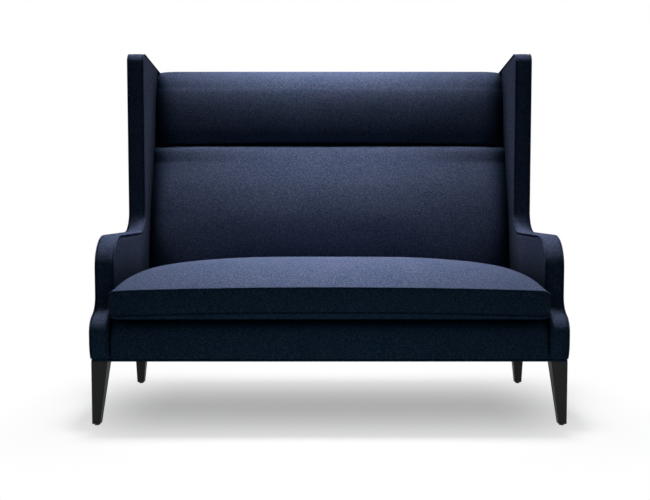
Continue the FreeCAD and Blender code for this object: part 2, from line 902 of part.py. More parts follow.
def bolster_section(x, fullness, skin, reach):
    """The bolster in side view: it rolls out of the crease, up its face and over the top."""
    crease = float(S.crease_height) + float(S.soft_gap) + skin
    under = float(S.crease_height + S.bolster_under_roll)
    top_y = float(rear - S.bolster_top_inset)
    top_z = float(rear_top + S.bolster_top_inset * top_slope - S.bolster_top_drop) - skin
    shoulder_level = top_z - float(S.bolster_top_roll)
    foam = float(S.bolster_foam) + float(S.bolster_crown) * fullness - skin
    edge = float(S.crease_foam) - skin
    face_foot = foam_point(x, under, foam)
    face_top = foam_point(x, shoulder_level, foam)
    turn_level = crease + (under - crease) * UNDER_TURN_HEIGHT
    under_middle = foam_point(x, turn_level, edge + (foam - edge) * UNDER_TURN_FOAM)
    top = FreeCAD.Vector(x, top_y, top_z)
    over_y = top_y - (top_y - face_top.y) * HALF_TURN
    over = FreeCAD.Vector(x, over_y, face_top.z + (top_z - face_top.z) * HALF_TURN)
    fall = top_z - float(S.bolster_top_inset * top_slope)
    frame_top = float(post_top) + float(S.soft_gap)
    rear_shift = float(board_inset - foam_inset) / float(cosine(S.back_rake_angle)) + reach
    return (
        (foam_point(x, crease, edge),),
        (under_middle, face_foot),
        (face_top,),
        (over, top),
        (foam_point(x, fall, 0.0, -rear_shift + 2 * reach),),
        (foam_point(x, frame_top - reach, 0.0, -rear_shift + 2 * reach),),
        (foam_point(x, frame_top - reach, 0.0, reach),),
        (foam_point(x, crease, 0.0, reach),),
    )


def make_back_upholstery():
    cover = float(S.cover_thickness)
    gap = float(S.soft_gap)
    for name, section in (("lower_back", lower_pad_section), ("bolster", bolster_section)):
        whole = crowned(section, 0.0, 0.0)
        hollow = crowned(section, cover, HOLLOW_OVERRUN)
        node(f"{name}_cover", shaped(f"{name}_cover", whole.cut(hollow)))
        node(f"{name}_pad", shaped(f"{name}_pad", crowned(section, cover + gap, 0.0)))


# Seat cushion: foam in a welted felt case with a zip along its rear.

cushion_bottom = S.deck_height
cushion_reach = side_inner - welt_proud - S.cushion_side_gap
welt_room = 2 * S.welt_radius + S.soft_gap
case_half = cushion_reach - welt_room
case_front = seat_front + S.cushion_border_bulge
case_rear = pad_foot - S.cushion_back_gap - welt_room
lower_seam = cushion_bottom + S.cushion_seam_rise
upper_seam = lower_seam + S.cushion_border


# The cushion's crown over its width and over its depth, as shares.
STATIONS = 7
DOME_POWER = 2.5
CREST_PLACE = 0.45
SHOULDER_PLACE = 0.3
SHOULDER_RISE = 0.62
LEAST_RISE = 1.0


def cushion_section(x, skin):
    """The cushion in side view at one x: border, crowned top and flat foot."""
    half = float(case_half) - skin
    across_share = min(1.0, abs(x) / half)
    rise = float(S.cushion_crown) * (1 - across_share ** DOME_POWER) ** (1 / DOME_POWER)
    front = float(case_front) + skin
    back = float(case_rear) - skin
    foot = float(cushion_bottom) + skin
    low = float(lower_seam)
    high = float(upper_seam) - skin
    bulge = float(S.cushion_border_bulge)
    setback = float(S.cushion_seam_rise)
    crest = front + (back - front) * CREST_PLACE

    def at(y, z):
        return FreeCAD.Vector(x, y, z)

    shoulder_y = front + (crest - front) * SHOULDER_PLACE
    fall_y = back - (back - crest) * SHOULDER_PLACE
    shoulder_z = high + rise * SHOULDER_RISE + LEAST_RISE
    crest_z = high + rise + LEAST_RISE
    return (
        (at(front, low),),
        (at(front - bulge, (low + high) / 2), at(front, high)),
        (at(shoulder_y, shoulder_z), at(crest, crest_z)),
        (at(fall_y, shoulder_z), at(back, high)),
        (at(back, low),),
        (at(back - setback, foot),),
        (at(front + setback, foot),),
    )


def cushion_form(skin):
    """A loft through even stations from side to side."""
    half = float(case_half) - skin
    wires = []
    for index in range(STATIONS):
        x = half * (2 * index / (STATIONS - 1) - 1)
        wires.append(wire_through(cushion_section(x, skin)))
    return Part.makeLoft(wires, True, False)


def seam_loop(level):
    """The line of a cushion welt: a rectangle with rounded corners."""
    x = float(cushion_reach - S.welt_radius)
    front = float(case_front) - float(S.welt_radius + S.soft_gap)
    back = float(case_rear) + float(S.welt_radius + S.soft_gap)
    corner = float(S.cushion_corner)
    bend = corner * (1 - HALF_TURN)

    def at(a, b):
        return FreeCAD.Vector(a, b, level)

    return wire_through((
        (at(x - corner, front),),
        (at(x - bend, front + bend), at(x, front + corner)),
        (at(x, back - corner),),
        (at(x - bend, back - bend), at(x - corner, back)),
        (at(corner - x, back),),
        (at(bend - x, back - bend), at(-x, back - corner)),
        (at(-x, front + corner),),
        (at(bend - x, front + bend), at(corner - x, front)),
    ))


def make_cushion():
    case = cushion_form(0.0).cut(cushion_form(float(S.cover_thickness)))
    node("cushion_cover", shaped("cushion_cover", case))
    core_skin = float(S.cover_thickness + 2 * S.soft_gap)
    node("cushion_core", shaped("cushion_core", cushion_form(core_skin)))
    welts = [tube(seam_loop(float(level)), float(S.welt_radius)) for level in (lower_seam, upper_seam)]
    node("cushion_welts", shaped("cushion_welts", Part.makeCompound(welts)))
    middle = (lower_seam + upper_seam) / 2
    zip_face = case_rear + S.zip_thickness
    zip_levels = (middle - S.zip_height / 2, middle + S.zip_height / 2)
    half = case_half - S.zip_end_inset
    node("cushion_zip", block("cushion_zip", (-half, half), (case_rear, zip_face), zip_levels))
    pull_levels = (middle - S.slider_height / 2, middle + S.slider_height / 2)
    depth = (zip_face, zip_face + S.zip_thickness)
    node("zip_slider", block("zip_slider", (-half, S.slider_length - half), depth, pull_levels))


# Legs: tapered posts with a glide below, a bolt above and a threaded insert in the frame.


def rectangle(sketch, x, y):
    """A rectangle in a sketch."""
    draw(sketch, polygon((x[0], y[0]), (x[1], y[0]), (x[1], y[1]), (x[0], y[1])))


def make_leg(name, sign, top_y, foot_y, bolt):
    body = doc.addObject("PartDesign::Body", name + "_blank")
    outer = side_outer - S.leg_side_inset
    foot_outer = outer - S.leg_splay
    sections = (
        (S.leg_height, (sign * (outer - S.leg_top), sign * outer), top_y),
        (S.glide_height, (sign * (foot_outer - S.leg_foot), sign * foot_outer), foot_y),
    )
    sketches = []
    for index, (level, x, y) in enumerate(sections):
        sketch = body.newObject("Sketcher::SketchObject", f"{name}_section_{index}")
        sketch.AttachmentSupport = [(origin_plane(body, "XY_Plane"), "")]
        sketch.MapMode = "FlatFace"
        rectangle(sketch, x, y)
        bind(sketch, "AttachmentOffset.Base.z", level)
        sketches.append(sketch)
    loft = body.newObject("PartDesign::AdditiveLoft", name + "_taper")
    loft.Profile = sketches[0]
    loft.Sections = [sketches[1]]
    loft.Ruled = True
    doc.recompute()
    upright = []
    for index, edge in enumerate(loft.Shape.Edges, start=1):
        if edge.BoundBox.ZLength > float(S.leg_height) / 2:
            upright.append(f"Edge{index}")
    rounding = body.newObject("PartDesign::Fillet", name + "_rounding")
    rounding.Base = (loft, upright)
    bind(rounding, "Radius", S.leg_edge_round)
    body.Tip = rounding
    drill_foot = (bolt[0], bolt[1], S.leg_height - S.bolt_reach)
    drill = rod(name + "_drill", S.bolt_radius + S.fit_gap, S.bolt_reach, drill_foot)
    node(name, drilled(name, body, [drill]))


def leg_depths():
    """The y range of the top and the foot of a front and a back leg."""
    front = base_front + S.leg_front_inset
    back = raked(S.leg_height, as_size(0)) - S.leg_rear_inset
    back_foot = back + S.back_leg_kick
    return {
        "front": ((front, front + S.leg_top), (front, front + S.leg_foot)),
        "back": ((back - S.leg_top, back), (back_foot - S.leg_foot, back_foot)),
    }


def make_legs():
    bolts = []
    inserts = []
    glides = []
    depths = leg_depths()
    for place_side, x, y in bolt_points():
        place, side = place_side.split("_")
        sign = dict(SIDES)[side]
        top_y, foot_y = depths[place]
        make_leg(f"{place}_leg_{side}", sign, top_y, foot_y, (x, y))
        start = S.leg_height - S.bolt_reach
        bolts.append(rod(f"bolt_{place_side}", S.bolt_radius, 2 * S.bolt_reach, (x, y, start)))
        sleeve = rod(f"sleeve_{place_side}", S.insert_radius, S.bolt_reach, (x, y, S.leg_height))
        bore = rod(f"bore_{place_side}", S.bolt_radius + S.fit_gap, S.bolt_reach, (x, y, S.leg_height))
        inserts.append(drilled(f"insert_{place_side}", sleeve, [bore]))
        foot_x = sign * (side_outer - S.leg_side_inset - S.leg_splay - S.leg_foot / 2)
        foot_middle = (foot_y[0] + foot_y[1]) / 2
        glide_centre = (foot_x, foot_middle, as_size(0))
        glides.append(rod(f"glide_{place_side}", S.glide_radius, S.glide_height, glide_centre))
    node("leg_bolts", group("leg_bolts", bolts))
    node("leg_inserts", group("leg_inserts", inserts))
    node("leg_glides", group("leg_glides", glides))


for side, sign in SIDES:
    make_side(side, sign)
make_seat_frame()
make_base_trim()
make_springs()
make_deck()
make_back_frame()
make_back_upholstery()
make_cushion()
make_legs()
doc.recompute()

# Nothing is written until every object has rebuilt and every sub-part is a valid shape.

for thing in doc.Objects:
    if "Invalid" in thing.State or "Error" in thing.State:
        raise ValueError(f"{thing.Label} did not rebuild: {thing.State}")
for thing in nodes:
    if thing.Shape.isNull() or not thing.Shape.isValid() or not thing.Shape.Solids:
        raise ValueError(f"{thing.Label} is not a valid solid")

os.makedirs("parts", exist_ok=True)
for thing in nodes:
    thing.Shape.exportStep(os.path.join("parts", f"{thing.Label}.step"))
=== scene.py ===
import json
import math

import bmesh
import bpy
import numpy as np
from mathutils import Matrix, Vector, geometry, noise


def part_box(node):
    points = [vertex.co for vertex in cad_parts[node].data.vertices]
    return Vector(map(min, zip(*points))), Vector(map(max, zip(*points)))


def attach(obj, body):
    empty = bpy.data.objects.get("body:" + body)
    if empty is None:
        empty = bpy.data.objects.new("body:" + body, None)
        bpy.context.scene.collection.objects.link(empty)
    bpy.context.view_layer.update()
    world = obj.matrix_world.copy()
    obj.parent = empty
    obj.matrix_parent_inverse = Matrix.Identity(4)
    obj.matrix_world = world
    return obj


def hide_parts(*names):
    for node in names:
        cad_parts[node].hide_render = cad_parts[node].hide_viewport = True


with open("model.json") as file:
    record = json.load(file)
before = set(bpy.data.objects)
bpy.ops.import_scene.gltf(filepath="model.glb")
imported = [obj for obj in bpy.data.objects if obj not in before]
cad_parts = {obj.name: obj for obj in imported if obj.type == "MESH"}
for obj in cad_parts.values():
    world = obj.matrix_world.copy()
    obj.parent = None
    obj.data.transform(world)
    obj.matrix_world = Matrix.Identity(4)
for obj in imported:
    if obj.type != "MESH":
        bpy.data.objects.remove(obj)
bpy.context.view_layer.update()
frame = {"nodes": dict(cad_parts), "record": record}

bl_info = {
    "name": "High back settee",
    "version": (1, 0, 0),
    "blender": (4, 5, 0),
    "location": "View3D > Sidebar > Settee",
    "description": "Upholstery, finishes and studio for a high back settee in felt",
    "category": "Object",
}

SIDES = (("left", -1), ("right", 1))
SETTEE = "settee"
CUSHION = "seat_cushion"
SLIDER = "zip_slider"

# Planes that the CAD gives, in metres.

base_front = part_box("facing_cover_left")[0].y
rear_line, rear_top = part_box("outside_back_cover")[1].yz
cover_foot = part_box("outside_cover_right")[0].z
outside_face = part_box("outside_cover_right")[1].x
wadding_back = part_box("side_outer_wadding_right")[0].x
inside_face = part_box("inside_cover_right")[0].x
panel_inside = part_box("side_inner_pad_right")[1].x
inside_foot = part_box("inside_cover_right")[0].z
pad_reach = inside_face + 0.0006
pad_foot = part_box("lower_back_cover")[0].z
crease = (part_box("lower_back_cover")[1].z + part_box("bolster_cover")[0].z) / 2
rail_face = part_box("front_rail_cover")[0].y
deck_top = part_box("deck_cover")[1].z


# Sizes and colours that a user would change.


def size(name, text, default, low=0.0):
    """A length of the settee."""
    return bpy.props.FloatProperty(
        name=name, description=text, default=default, min=low, precision=4, subtype="DISTANCE", unit="LENGTH"
    )


def slope(name, text, degrees):
    """An angle of the settee."""
    return bpy.props.FloatProperty(
        name=name, description=text, default=math.radians(degrees), subtype="ANGLE", unit="ROTATION"
    )


def share(name, text, default):
    """A number from 0 to 1."""
    return bpy.props.FloatProperty(
        name=name, description=text, default=default, min=0.0, max=1.0, subtype="FACTOR"
    )


def colour(name, text, default):
    """A colour without its alpha."""
    return bpy.props.FloatVectorProperty(
        name=name, description=text, default=default, size=3, min=0.0, max=1.0, subtype="COLOR"
    )


class SetteeSizes(bpy.types.PropertyGroup):
    """Lengths and angles of the upholstery"""

    tuck: size("Foot tuck", "How far the foot of a side draws back", 0.015)
    tuck_height: size("Foot tuck height", "Height of the tuck at the foot of a side", 0.055)
    leg_height: size("Leg height", "Height of the legs with their glides", 0.190)
    shoulder: size("Shoulder height", "Where the front edge of a side starts to curve back", 0.275)
    waist_radius: size("Waist radius", "Radius of both curves of the waist", 0.055)
    arm_setback: size("Arm setback", "How far the arm stands behind the base", 0.067)
    arm_height: size("Arm height", "Height of the arm over the floor", 0.555)
    nose_radius: size("Arm nose radius", "Radius of the front of the arm", 0.095)
    wing_setback: size("Wing setback", "How far the wing stands behind the base", 0.486)
    wing_foot_radius: size("Wing foot radius", "Radius between the arm and the wing", 0.072)
    wing_top_radius: size("Wing top radius", "Radius of the wing's upper corner", 0.032)
    side_top: size("Wing height", "Height of the wings", 1.17215)
    wing_slope: slope("Wing top slope", "How far the wing's top falls to the rear", 5.5)
    back_rake: slope("Back rake", "How far the back leans", 10.8)
    welt_radius: size("Welt radius", "Radius of the sewn welts of the sides", 0.0025)
    piping_radius: size("Piping radius", "Radius of the cushion's sewn welts", 0.0024)
    seam_dip: size("Seam dip", "How far the felt draws in at a seam", 0.0052)
    crease_dip: size("Crease dip", "How far the crease of the back falls at its ends", 0.006)
    pad_end: size("Pad end", "How far the pads draw back beside the wings", 0.028)
    cushion_crown: size("Cushion crown", "Rise of the seat cushion over its seam", 0.074)
    seam_rise: size("Cushion seam rise", "Rise of the cushion's seams to the middle", 0.0115)
    cushion_corner: size("Cushion corner", "Radius of the cushion's upright corners", 0.036)
    cushion_bulge: size("Border bulge", "How far the border of the cushion swells", 0.002)
    sheet_sag: size("Dust cover sag", "How far the dust cover hangs in its middle", 0.004)


class SetteeColours(bpy.types.PropertyGroup):
    """Colours and finishes"""

    felt_dark: colour("Felt, dark fibres", "Darkest fibres of the felt", (0.008, 0.029, 0.066))
    felt_mid: colour("Felt, main fibres", "Main fibres of the felt", (0.060, 0.069, 0.125))
    felt_light: colour("Felt, light fibres", "Pale fibres spun into the felt", (0.190, 0.192, 0.272))
    felt_nap: colour("Felt nap", "Colour of the fine nap against the light", (0.80, 0.82, 1.0))
    # Painted shade: where ambient occlusion finds deep corners and creases, the felt's colour falls to this
    # share of the dark fibres' colour, standing in for shade.
    painted_corner_shade: share("Cavities", "How much of the dark fibres' colour the deep corners keep", 0.35)
    nap: share("Nap", "Strength of the nap", 0.01)
    leg_black: colour("Leg stain", "Black stain of the legs", (0.010, 0.010, 0.0105))
    beech: colour("Frame wood", "Pale wood of the frame", (0.56, 0.38, 0.20))
    beech_dark: colour("Frame wood grain", "Darker grain of the frame", (0.36, 0.21, 0.10))
    lining: colour("Lining", "Black lining cloth", (0.018, 0.018, 0.021))
    strap: colour("Webbing", "Woven straps behind the back", (0.20, 0.13, 0.08))
    floor: colour("Floor", "Pale floor of the studio", (0.72, 0.72, 0.73))


def sizes():
    return bpy.context.scene.settee_sizes


def colours():
    return bpy.context.scene.settee_colours


# Shader nodes.


class Shade:
    """A node's output, with the signs that add its Math nodes."""

    def __init__(self, paint, output):
        self.paint = paint
        self.output = output

    def __add__(self, other):
        return self.paint.maths("ADD", self, other)

    __radd__ = __add__

    def __sub__(self, other):
        return self.paint.maths("SUBTRACT", self, other)

    def __rsub__(self, other):
        return self.paint.maths("SUBTRACT", other, self)

    def __mul__(self, other):
        return self.paint.maths("MULTIPLY", self, other)

    __rmul__ = __mul__

    def __truediv__(self, other):
        return self.paint.maths("DIVIDE", self, other)

    def __rtruediv__(self, other):
        return self.paint.maths("DIVIDE", other, self)

    def __pow__(self, other):
        return self.paint.maths("POWER", self, other)


class Paint:
    """A node tree that is built up node by node."""

    def __init__(self, tree):
        self.tree = tree
        tree.nodes.clear()

    def node(self, kind, settings=None, values=None, output=0):
        """Adds a node: its settings first, then the values or links of its sockets."""
        made = self.tree.nodes.new(kind)
        for name, value in (settings or {}).items():
            if name == "stops":
                ramp = made.color_ramp
                while len(ramp.elements) < len(value):
                    ramp.elements.new(1.0)
                for element, (place, tone) in zip(ramp.elements, value):
                    element.position = place
                    element.color = (*tone, 1.0)
            else:
                setattr(made, name, value)
        for name, value in (values or {}).items():
            if isinstance(value, Shade):
                self.tree.links.new(value.output, made.inputs[name])
            elif isinstance(made.inputs[name].default_value, (int, float)):
                made.inputs[name].default_value = value
            elif len(made.inputs[name].default_value) == 4 and len(value) == 3:
                made.inputs[name].default_value = (*value, 1.0)
            else:
                made.inputs[name].default_value = value
        return Shade(self, made.outputs[output]) if made.outputs else None

    def maths(self, operation, *values):
        return self.node("ShaderNodeMath", {"operation": operation}, dict(enumerate(values)))

    def mix(self, factor, first, second):
        """One colour turned into another."""
        return self.node("ShaderNodeMix", {"data_type": "RGBA"}, {0: factor, 6: first, 7: second}, 2)

    def place(self, stretch=(1.0, 1.0, 1.0)):
        """Where a point is on the piece, in metres, stretched along the axes."""
        found = self.node("ShaderNodeTexCoord", output="Object")
        return self.node("ShaderNodeVectorMath", {"operation": "MULTIPLY"}, {0: found, 1: stretch})

    def grain(self, place, scale, detail=2.0, rough=0.5, warp=0.0):
        """Noise at a scale in turns to the metre."""
        values = {"Vector": place, "Scale": scale, "Detail": detail, "Roughness": rough, "Distortion": warp}
        return self.node("ShaderNodeTexNoise", None, values)

    def above(self, value, low, high):
        """0 below one level, 1 above another, and smooth between."""
        return self.node(
            "ShaderNodeMapRange",
            {"interpolation_type": "SMOOTHSTEP"},
            {"Value": value, "From Min": low, "From Max": high},
        )

    def bump(self, height, strength, distance):
        values = {"Height": height, "Strength": strength, "Distance": distance}
        return self.node("ShaderNodeBump", None, values)

    def threads(self, direction, scale, distortion=0.0):
        """Straight bands at a scale in turns to the metre."""
        found = self.node("ShaderNodeTexCoord", output="Object")
        values = {"Vector": found, "Scale": scale, "Distortion": distortion}
        return self.node("ShaderNodeTexWave", {"bands_direction": direction}, values)


def dim(tone, part):
    """A colour at a part of its brightness."""
    return tuple(value * part for value in tone)


def finish(name, build):
    """A material: build fills in its tree and gives the values of its shader."""
    if name in bpy.data.materials:
        return bpy.data.materials[name]
    material = bpy.data.materials.new(name)
    material.use_nodes = True
    paint = Paint(material.node_tree)
    shader = paint.node("ShaderNodeBsdfPrincipled", None, build(paint))
    paint.node("ShaderNodeOutputMaterial", None, {"Surface": shader})
    return material


def felt(paint):
    """Wool felt: dark and main fibres mixed, pale ones spun in, a soft nap, and painted shade that darkens
    the colour in corners and creases.
    """
    tones = colours()
    cloud = paint.grain(paint.place(), 9.0, 3.0, 0.6)
    wool = paint.grain(paint.place(), 330.0, 4.0, 0.75)
    cross = paint.grain(paint.place((1.0, 1.0, 0.6)), 400.0, 2.0, 0.6)
    along = paint.grain(paint.place((0.6, 1.0, 1.0)), 440.0, 2.0, 0.6)
    body = paint.above(wool + (cloud - 0.5) * 0.12, 0.32, 0.68)
    base = paint.mix(body, tones.felt_dark, tones.felt_mid)
    fleck = paint.above(cross * along, 0.20, 0.40) * 0.5
    spun = paint.mix(fleck, base, tones.felt_light)
    # Painted shade: ambient occlusion darkens the felt's colour towards dimmed dark fibres in corners,
    # creases, seams and recesses, standing in for the shade that falls there.
    occlusion_for_painted_shade = paint.node("ShaderNodeAmbientOcclusion", {"samples": 8}, {"Distance": 0.15}, "AO")
    fibres_and_painted_shade = paint.mix(paint.above(occlusion_for_painted_shade, 0.28, 0.88), dim(tones.felt_dark, tones.painted_corner_shade), spun)
    height = wool * 0.7 + cross * 0.5 + along * 0.5
    return {
        "Base Color": fibres_and_painted_shade,
        "Roughness": 0.86 + wool * 0.12,
        "Specular IOR Level": 0.0,
        "Sheen Weight": tones.nap,
        "Sheen Roughness": 0.55,
        "Sheen Tint": tones.felt_nap,
        "Normal": paint.bump(height, 0.5, 0.0006),
    }


def leg_stain(paint):
    """Black stain on close-grained wood, with a satin lacquer."""
    black = colours().leg_black
    fibre = paint.grain(paint.place((1.0, 1.0, 0.06)), 420.0, 3.0, 0.65)
    pores = paint.above(paint.grain(paint.place((1.0, 1.0, 0.03)), 900.0, 2.0, 0.5), 0.60, 0.72)
    return {
        "Base Color": paint.mix(fibre * 0.6, black, dim(black, 2.2)),
        "Roughness": 0.46 + fibre * 0.12 + pores * 0.1,
        "Specular IOR Level": 0.22,
        "Normal": paint.bump(fibre * 0.5 - pores * 0.8, 0.35, 0.0004),
    }


def frame_wood(paint):
    """Sawn beech: long grain, short darker flecks."""
    tones = colours()
    grain = paint.grain(paint.place((0.12, 1.0, 0.35)), 60.0, 4.0, 0.6, 0.4)
    fleck = paint.above(paint.grain(paint.place((0.2, 1.0, 0.2)), 380.0, 2.0, 0.5), 0.58, 0.68)
    tone = paint.mix(paint.above(grain, 0.35, 0.65), tones.beech, tones.beech_dark)
    return {
        "Base Color": paint.mix(fleck * 0.5, tone, tones.beech_dark),
        "Roughness": 0.62 + grain * 0.2,
        "Normal": paint.bump(grain + fleck * 0.5, 0.4, 0.0006),
    }


def spring_steel(paint):
    """Drawn wire with a thin grey oxide."""
    drawn = paint.grain(paint.place(), 300.0, 3.0, 0.7)
    return {
        "Base Color": paint.mix(drawn, (0.42, 0.42, 0.44), (0.62, 0.61, 0.60)),
        "Metallic": 1.0,
        "Roughness": 0.28 + drawn * 0.25,
        "Normal": paint.bump(drawn, 0.2, 0.0003),
    }


def plastic(tone):
    """Moulded plastic with a fine spark-eroded grain."""

    def build(paint):
        skin = paint.grain(paint.place(), 1400.0, 2.0, 0.6)
        cloud = paint.grain(paint.place(), 60.0, 2.0, 0.5)
        return {
            "Base Color": paint.mix(cloud * 0.4, tone, dim(tone, 0.7)),
            "Roughness": 0.42 + skin * 0.2,
            "Normal": paint.bump(skin, 0.25, 0.0002),
        }

    return build


def lining_cloth(paint):
    """Thin black cambric: crossed threads and a few slubs."""
    tone = colours().lining
    weave = paint.threads("X", 260.0, 0.4) * paint.threads("Y", 240.0, 0.4)
    slub = paint.above(paint.grain(paint.place((0.1, 1.0, 1.0)), 200.0, 3.0, 0.6), 0.6, 0.75)
    return {
        "Base Color": paint.mix(weave * 0.7 + slub * 0.3, dim(tone, 0.6), dim(tone, 1.9)),
        "Roughness": 0.85 + weave * 0.1,
        "Specular IOR Level": 0.2,
        "Normal": paint.bump(weave + slub, 0.5, 0.0004),
    }


def webbing(paint):
    """Elastic webbing: close ribs across, two darker threads along."""
    tone = colours().strap
    ribs = paint.threads("Z", 160.0, 0.3)
    stripes = paint.threads("X", 24.0)
    return {
        "Base Color": paint.mix(ribs * 0.6 + stripes * 0.3, dim(tone, 0.5), dim(tone, 1.5)),
        "Roughness": 0.8 + ribs * 0.1,
        "Normal": paint.bump(ribs, 0.5, 0.0006),
    }


def zip_cloth(paint):
    """Zip tape: a fine herring-bone in navy."""
    tones = colours()
    twill = paint.threads("DIAGONAL", 420.0)
    return {
        "Base Color": paint.mix(twill, tones.felt_dark, tones.felt_mid),
        "Roughness": 0.75 + twill * 0.1,
        "Normal": paint.bump(twill, 0.4, 0.0003),
    }


def zip_metal(paint):
    """Black enamelled die-casting, bare at the rubbed places."""
    rubbed = paint.above(paint.grain(paint.place(), 260.0, 4.0, 0.7), 0.62, 0.72)
    return {
        "Base Color": paint.mix(rubbed, (0.018, 0.018, 0.020), (0.30, 0.29, 0.28)),
        "Metallic": rubbed,
        "Roughness": 0.32 + rubbed * 0.1,
        "Normal": paint.bump(rubbed, 0.2, 0.0001),
    }


FINISHES = {
    "felt": ("navy_wool_felt", felt),
    "lining": ("black_lining", lining_cloth),
    "zip_tape": ("zip_tape_cloth", zip_cloth),
    "zip_metal": ("black_enamel", zip_metal),
    "frame_wood": ("sawn_beech", frame_wood),
    "black_wood": ("black_leg_stain", leg_stain),
    "steel": ("spring_steel", spring_steel),
    "clip_plastic": ("clip_nylon", plastic((0.80, 0.79, 0.75))),
    "glide_plastic": ("glide_plastic_black", plastic((0.022, 0.022, 0.024))),
    "webbing": ("elastic_webbing", webbing),
}
CAD_SLOTS = ("frame_wood", "black_wood", "steel", "clip_plastic", "glide_plastic", "webbing")
ZIP_NYLON = ("zip_teeth_nylon", plastic((0.02, 0.026, 0.05)))


# Meshes.


def new_object(name, skin, material, merge=0.0):
    """A smooth object from points and faces, with all faces turned outwards."""
    points, faces = skin
    mesh = bpy.data.meshes.new(name)
    mesh.from_pydata([tuple(point) for point in points], [], faces)
    mesh.update()
    tidy = bmesh.new()
    tidy.from_mesh(mesh)
    if merge:
        bmesh.ops.remove_doubles(tidy, verts=tidy.verts, dist=merge)
    bmesh.ops.recalc_face_normals(tidy, faces=tidy.faces)
    for face in tidy.faces:
        face.smooth = True
    tidy.to_mesh(mesh)
    tidy.free()
    mesh.materials.append(material)
    made = bpy.data.objects.new(name, mesh)
    bpy.context.scene.collection.objects.link(made)
    return made


def placed(piece, body, stands_for=(), fill=None):
    """Lets a piece ride on a body and hides the CAD nodes that it stands for. The fill is not used."""
    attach(piece, body)
    if stands_for:
        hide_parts(*stands_for)


def new_piece(name, skin, slot_name, body, stands_for=(), fill=None, look=None):
    """A new object in its slot's finish, or in a look of its own, placed on a body."""
    piece = new_object(name, skin, finish(*(look or FINISHES[slot_name])), merge=1e-6)
    placed(piece, body, stands_for, fill)
    return piece


def sewn_piece(name, skin, *stands_for, fill=None):
    """A new piece of the settee's felt."""
    return new_piece(name, skin, "felt", SETTEE, stands_for, fill)


def crisp_edges(piece, degrees):
    """Shading breaks at edges sharper than an angle."""
    piece.data.set_sharp_from_angle(angle=math.radians(degrees))


def lofted(rings, closed_run=False):
    """Points and faces of a skin through rings of equal count, capped unless the run is closed."""
    count = len(rings[0])
    points = [point for ring in rings for point in ring]
    faces = []
    for run in range(len(rings) if closed_run else len(rings) - 1):
        near = run * count
        far = (run + 1) % len(rings) * count
        for index in range(count):
            after = (index + 1) % count
            faces.append((near + index, near + after, far + after, far + index))
    if not closed_run:
        faces.append(tuple(range(count)))
        faces.append(tuple(len(points) - 1 - index for index in range(count)))
    return points, faces


def net_faces(rows, columns, start=0):
    """Faces of a net whose points were made row by row."""
    faces = []
    for row in range(rows - 1):
        for column in range(columns - 1):
            near = start + row * columns + column
            faces.append((near, near + columns, near + columns + 1, near + 1))
    return faces


def cord_rings(line, radius, closed=False, sides=10):
    """Rings round a line of points."""
    rings = []
    total = len(line)
    up = None
    for index, point in enumerate(line):
        before = line[index - 1] if closed or index else point
        after = line[(index + 1) % total] if closed or index < total - 1 else point
        heading = (after - before).normalized()
        if up is None:
            helper = Vector((0, 0, 1)) if abs(heading.z) < 0.9 else Vector((1, 0, 0))
            up = heading.cross(helper).normalized()
        up = (up - heading * up.dot(heading)).normalized()
        aside = heading.cross(up)
        ring = []
        for side in range(sides):
            turn = math.tau * side / sides
            ring.append(point + up * radius * math.cos(turn) + aside * radius * math.sin(turn))
        rings.append(ring)
    return rings


def joined(parts):
    """Several sets of points and faces as one."""
    points = []
    faces = []
    for more_points, more_faces in parts:
        start = len(points)
        points += more_points
        faces += [tuple(start + index for index in face) for face in more_faces]
    return points, faces


def swell(x, y, z, reach, height):
    """The small unevenness of stuffed felt."""
    return noise.noise(Vector((x, y, z)) / reach) * height


# Outline of a side.

FACING_STEPS = (6, 3, 12, 12, 6, 20, 14, 16, 34, 12, 18)


def raked(height, inset=0.0):
    """Where the raked rear plane, moved forward by an inset, stands at a height."""
    rake = sizes().back_rake
    return rear_line - (rear_top - height) * math.tan(rake) - inset / math.cos(rake)


def tuck_radius():
    made = sizes()
    return (made.tuck_height**2 + made.tuck**2) / (2 * made.tuck)


def front_at(height, inset):
    """Where the tucked foot of a side stands at a height."""
    run = tuck_radius() - inset
    rise = sizes().leg_height + sizes().tuck_height - height
    return base_front + tuck_radius() - math.sqrt(run * run - rise * rise)


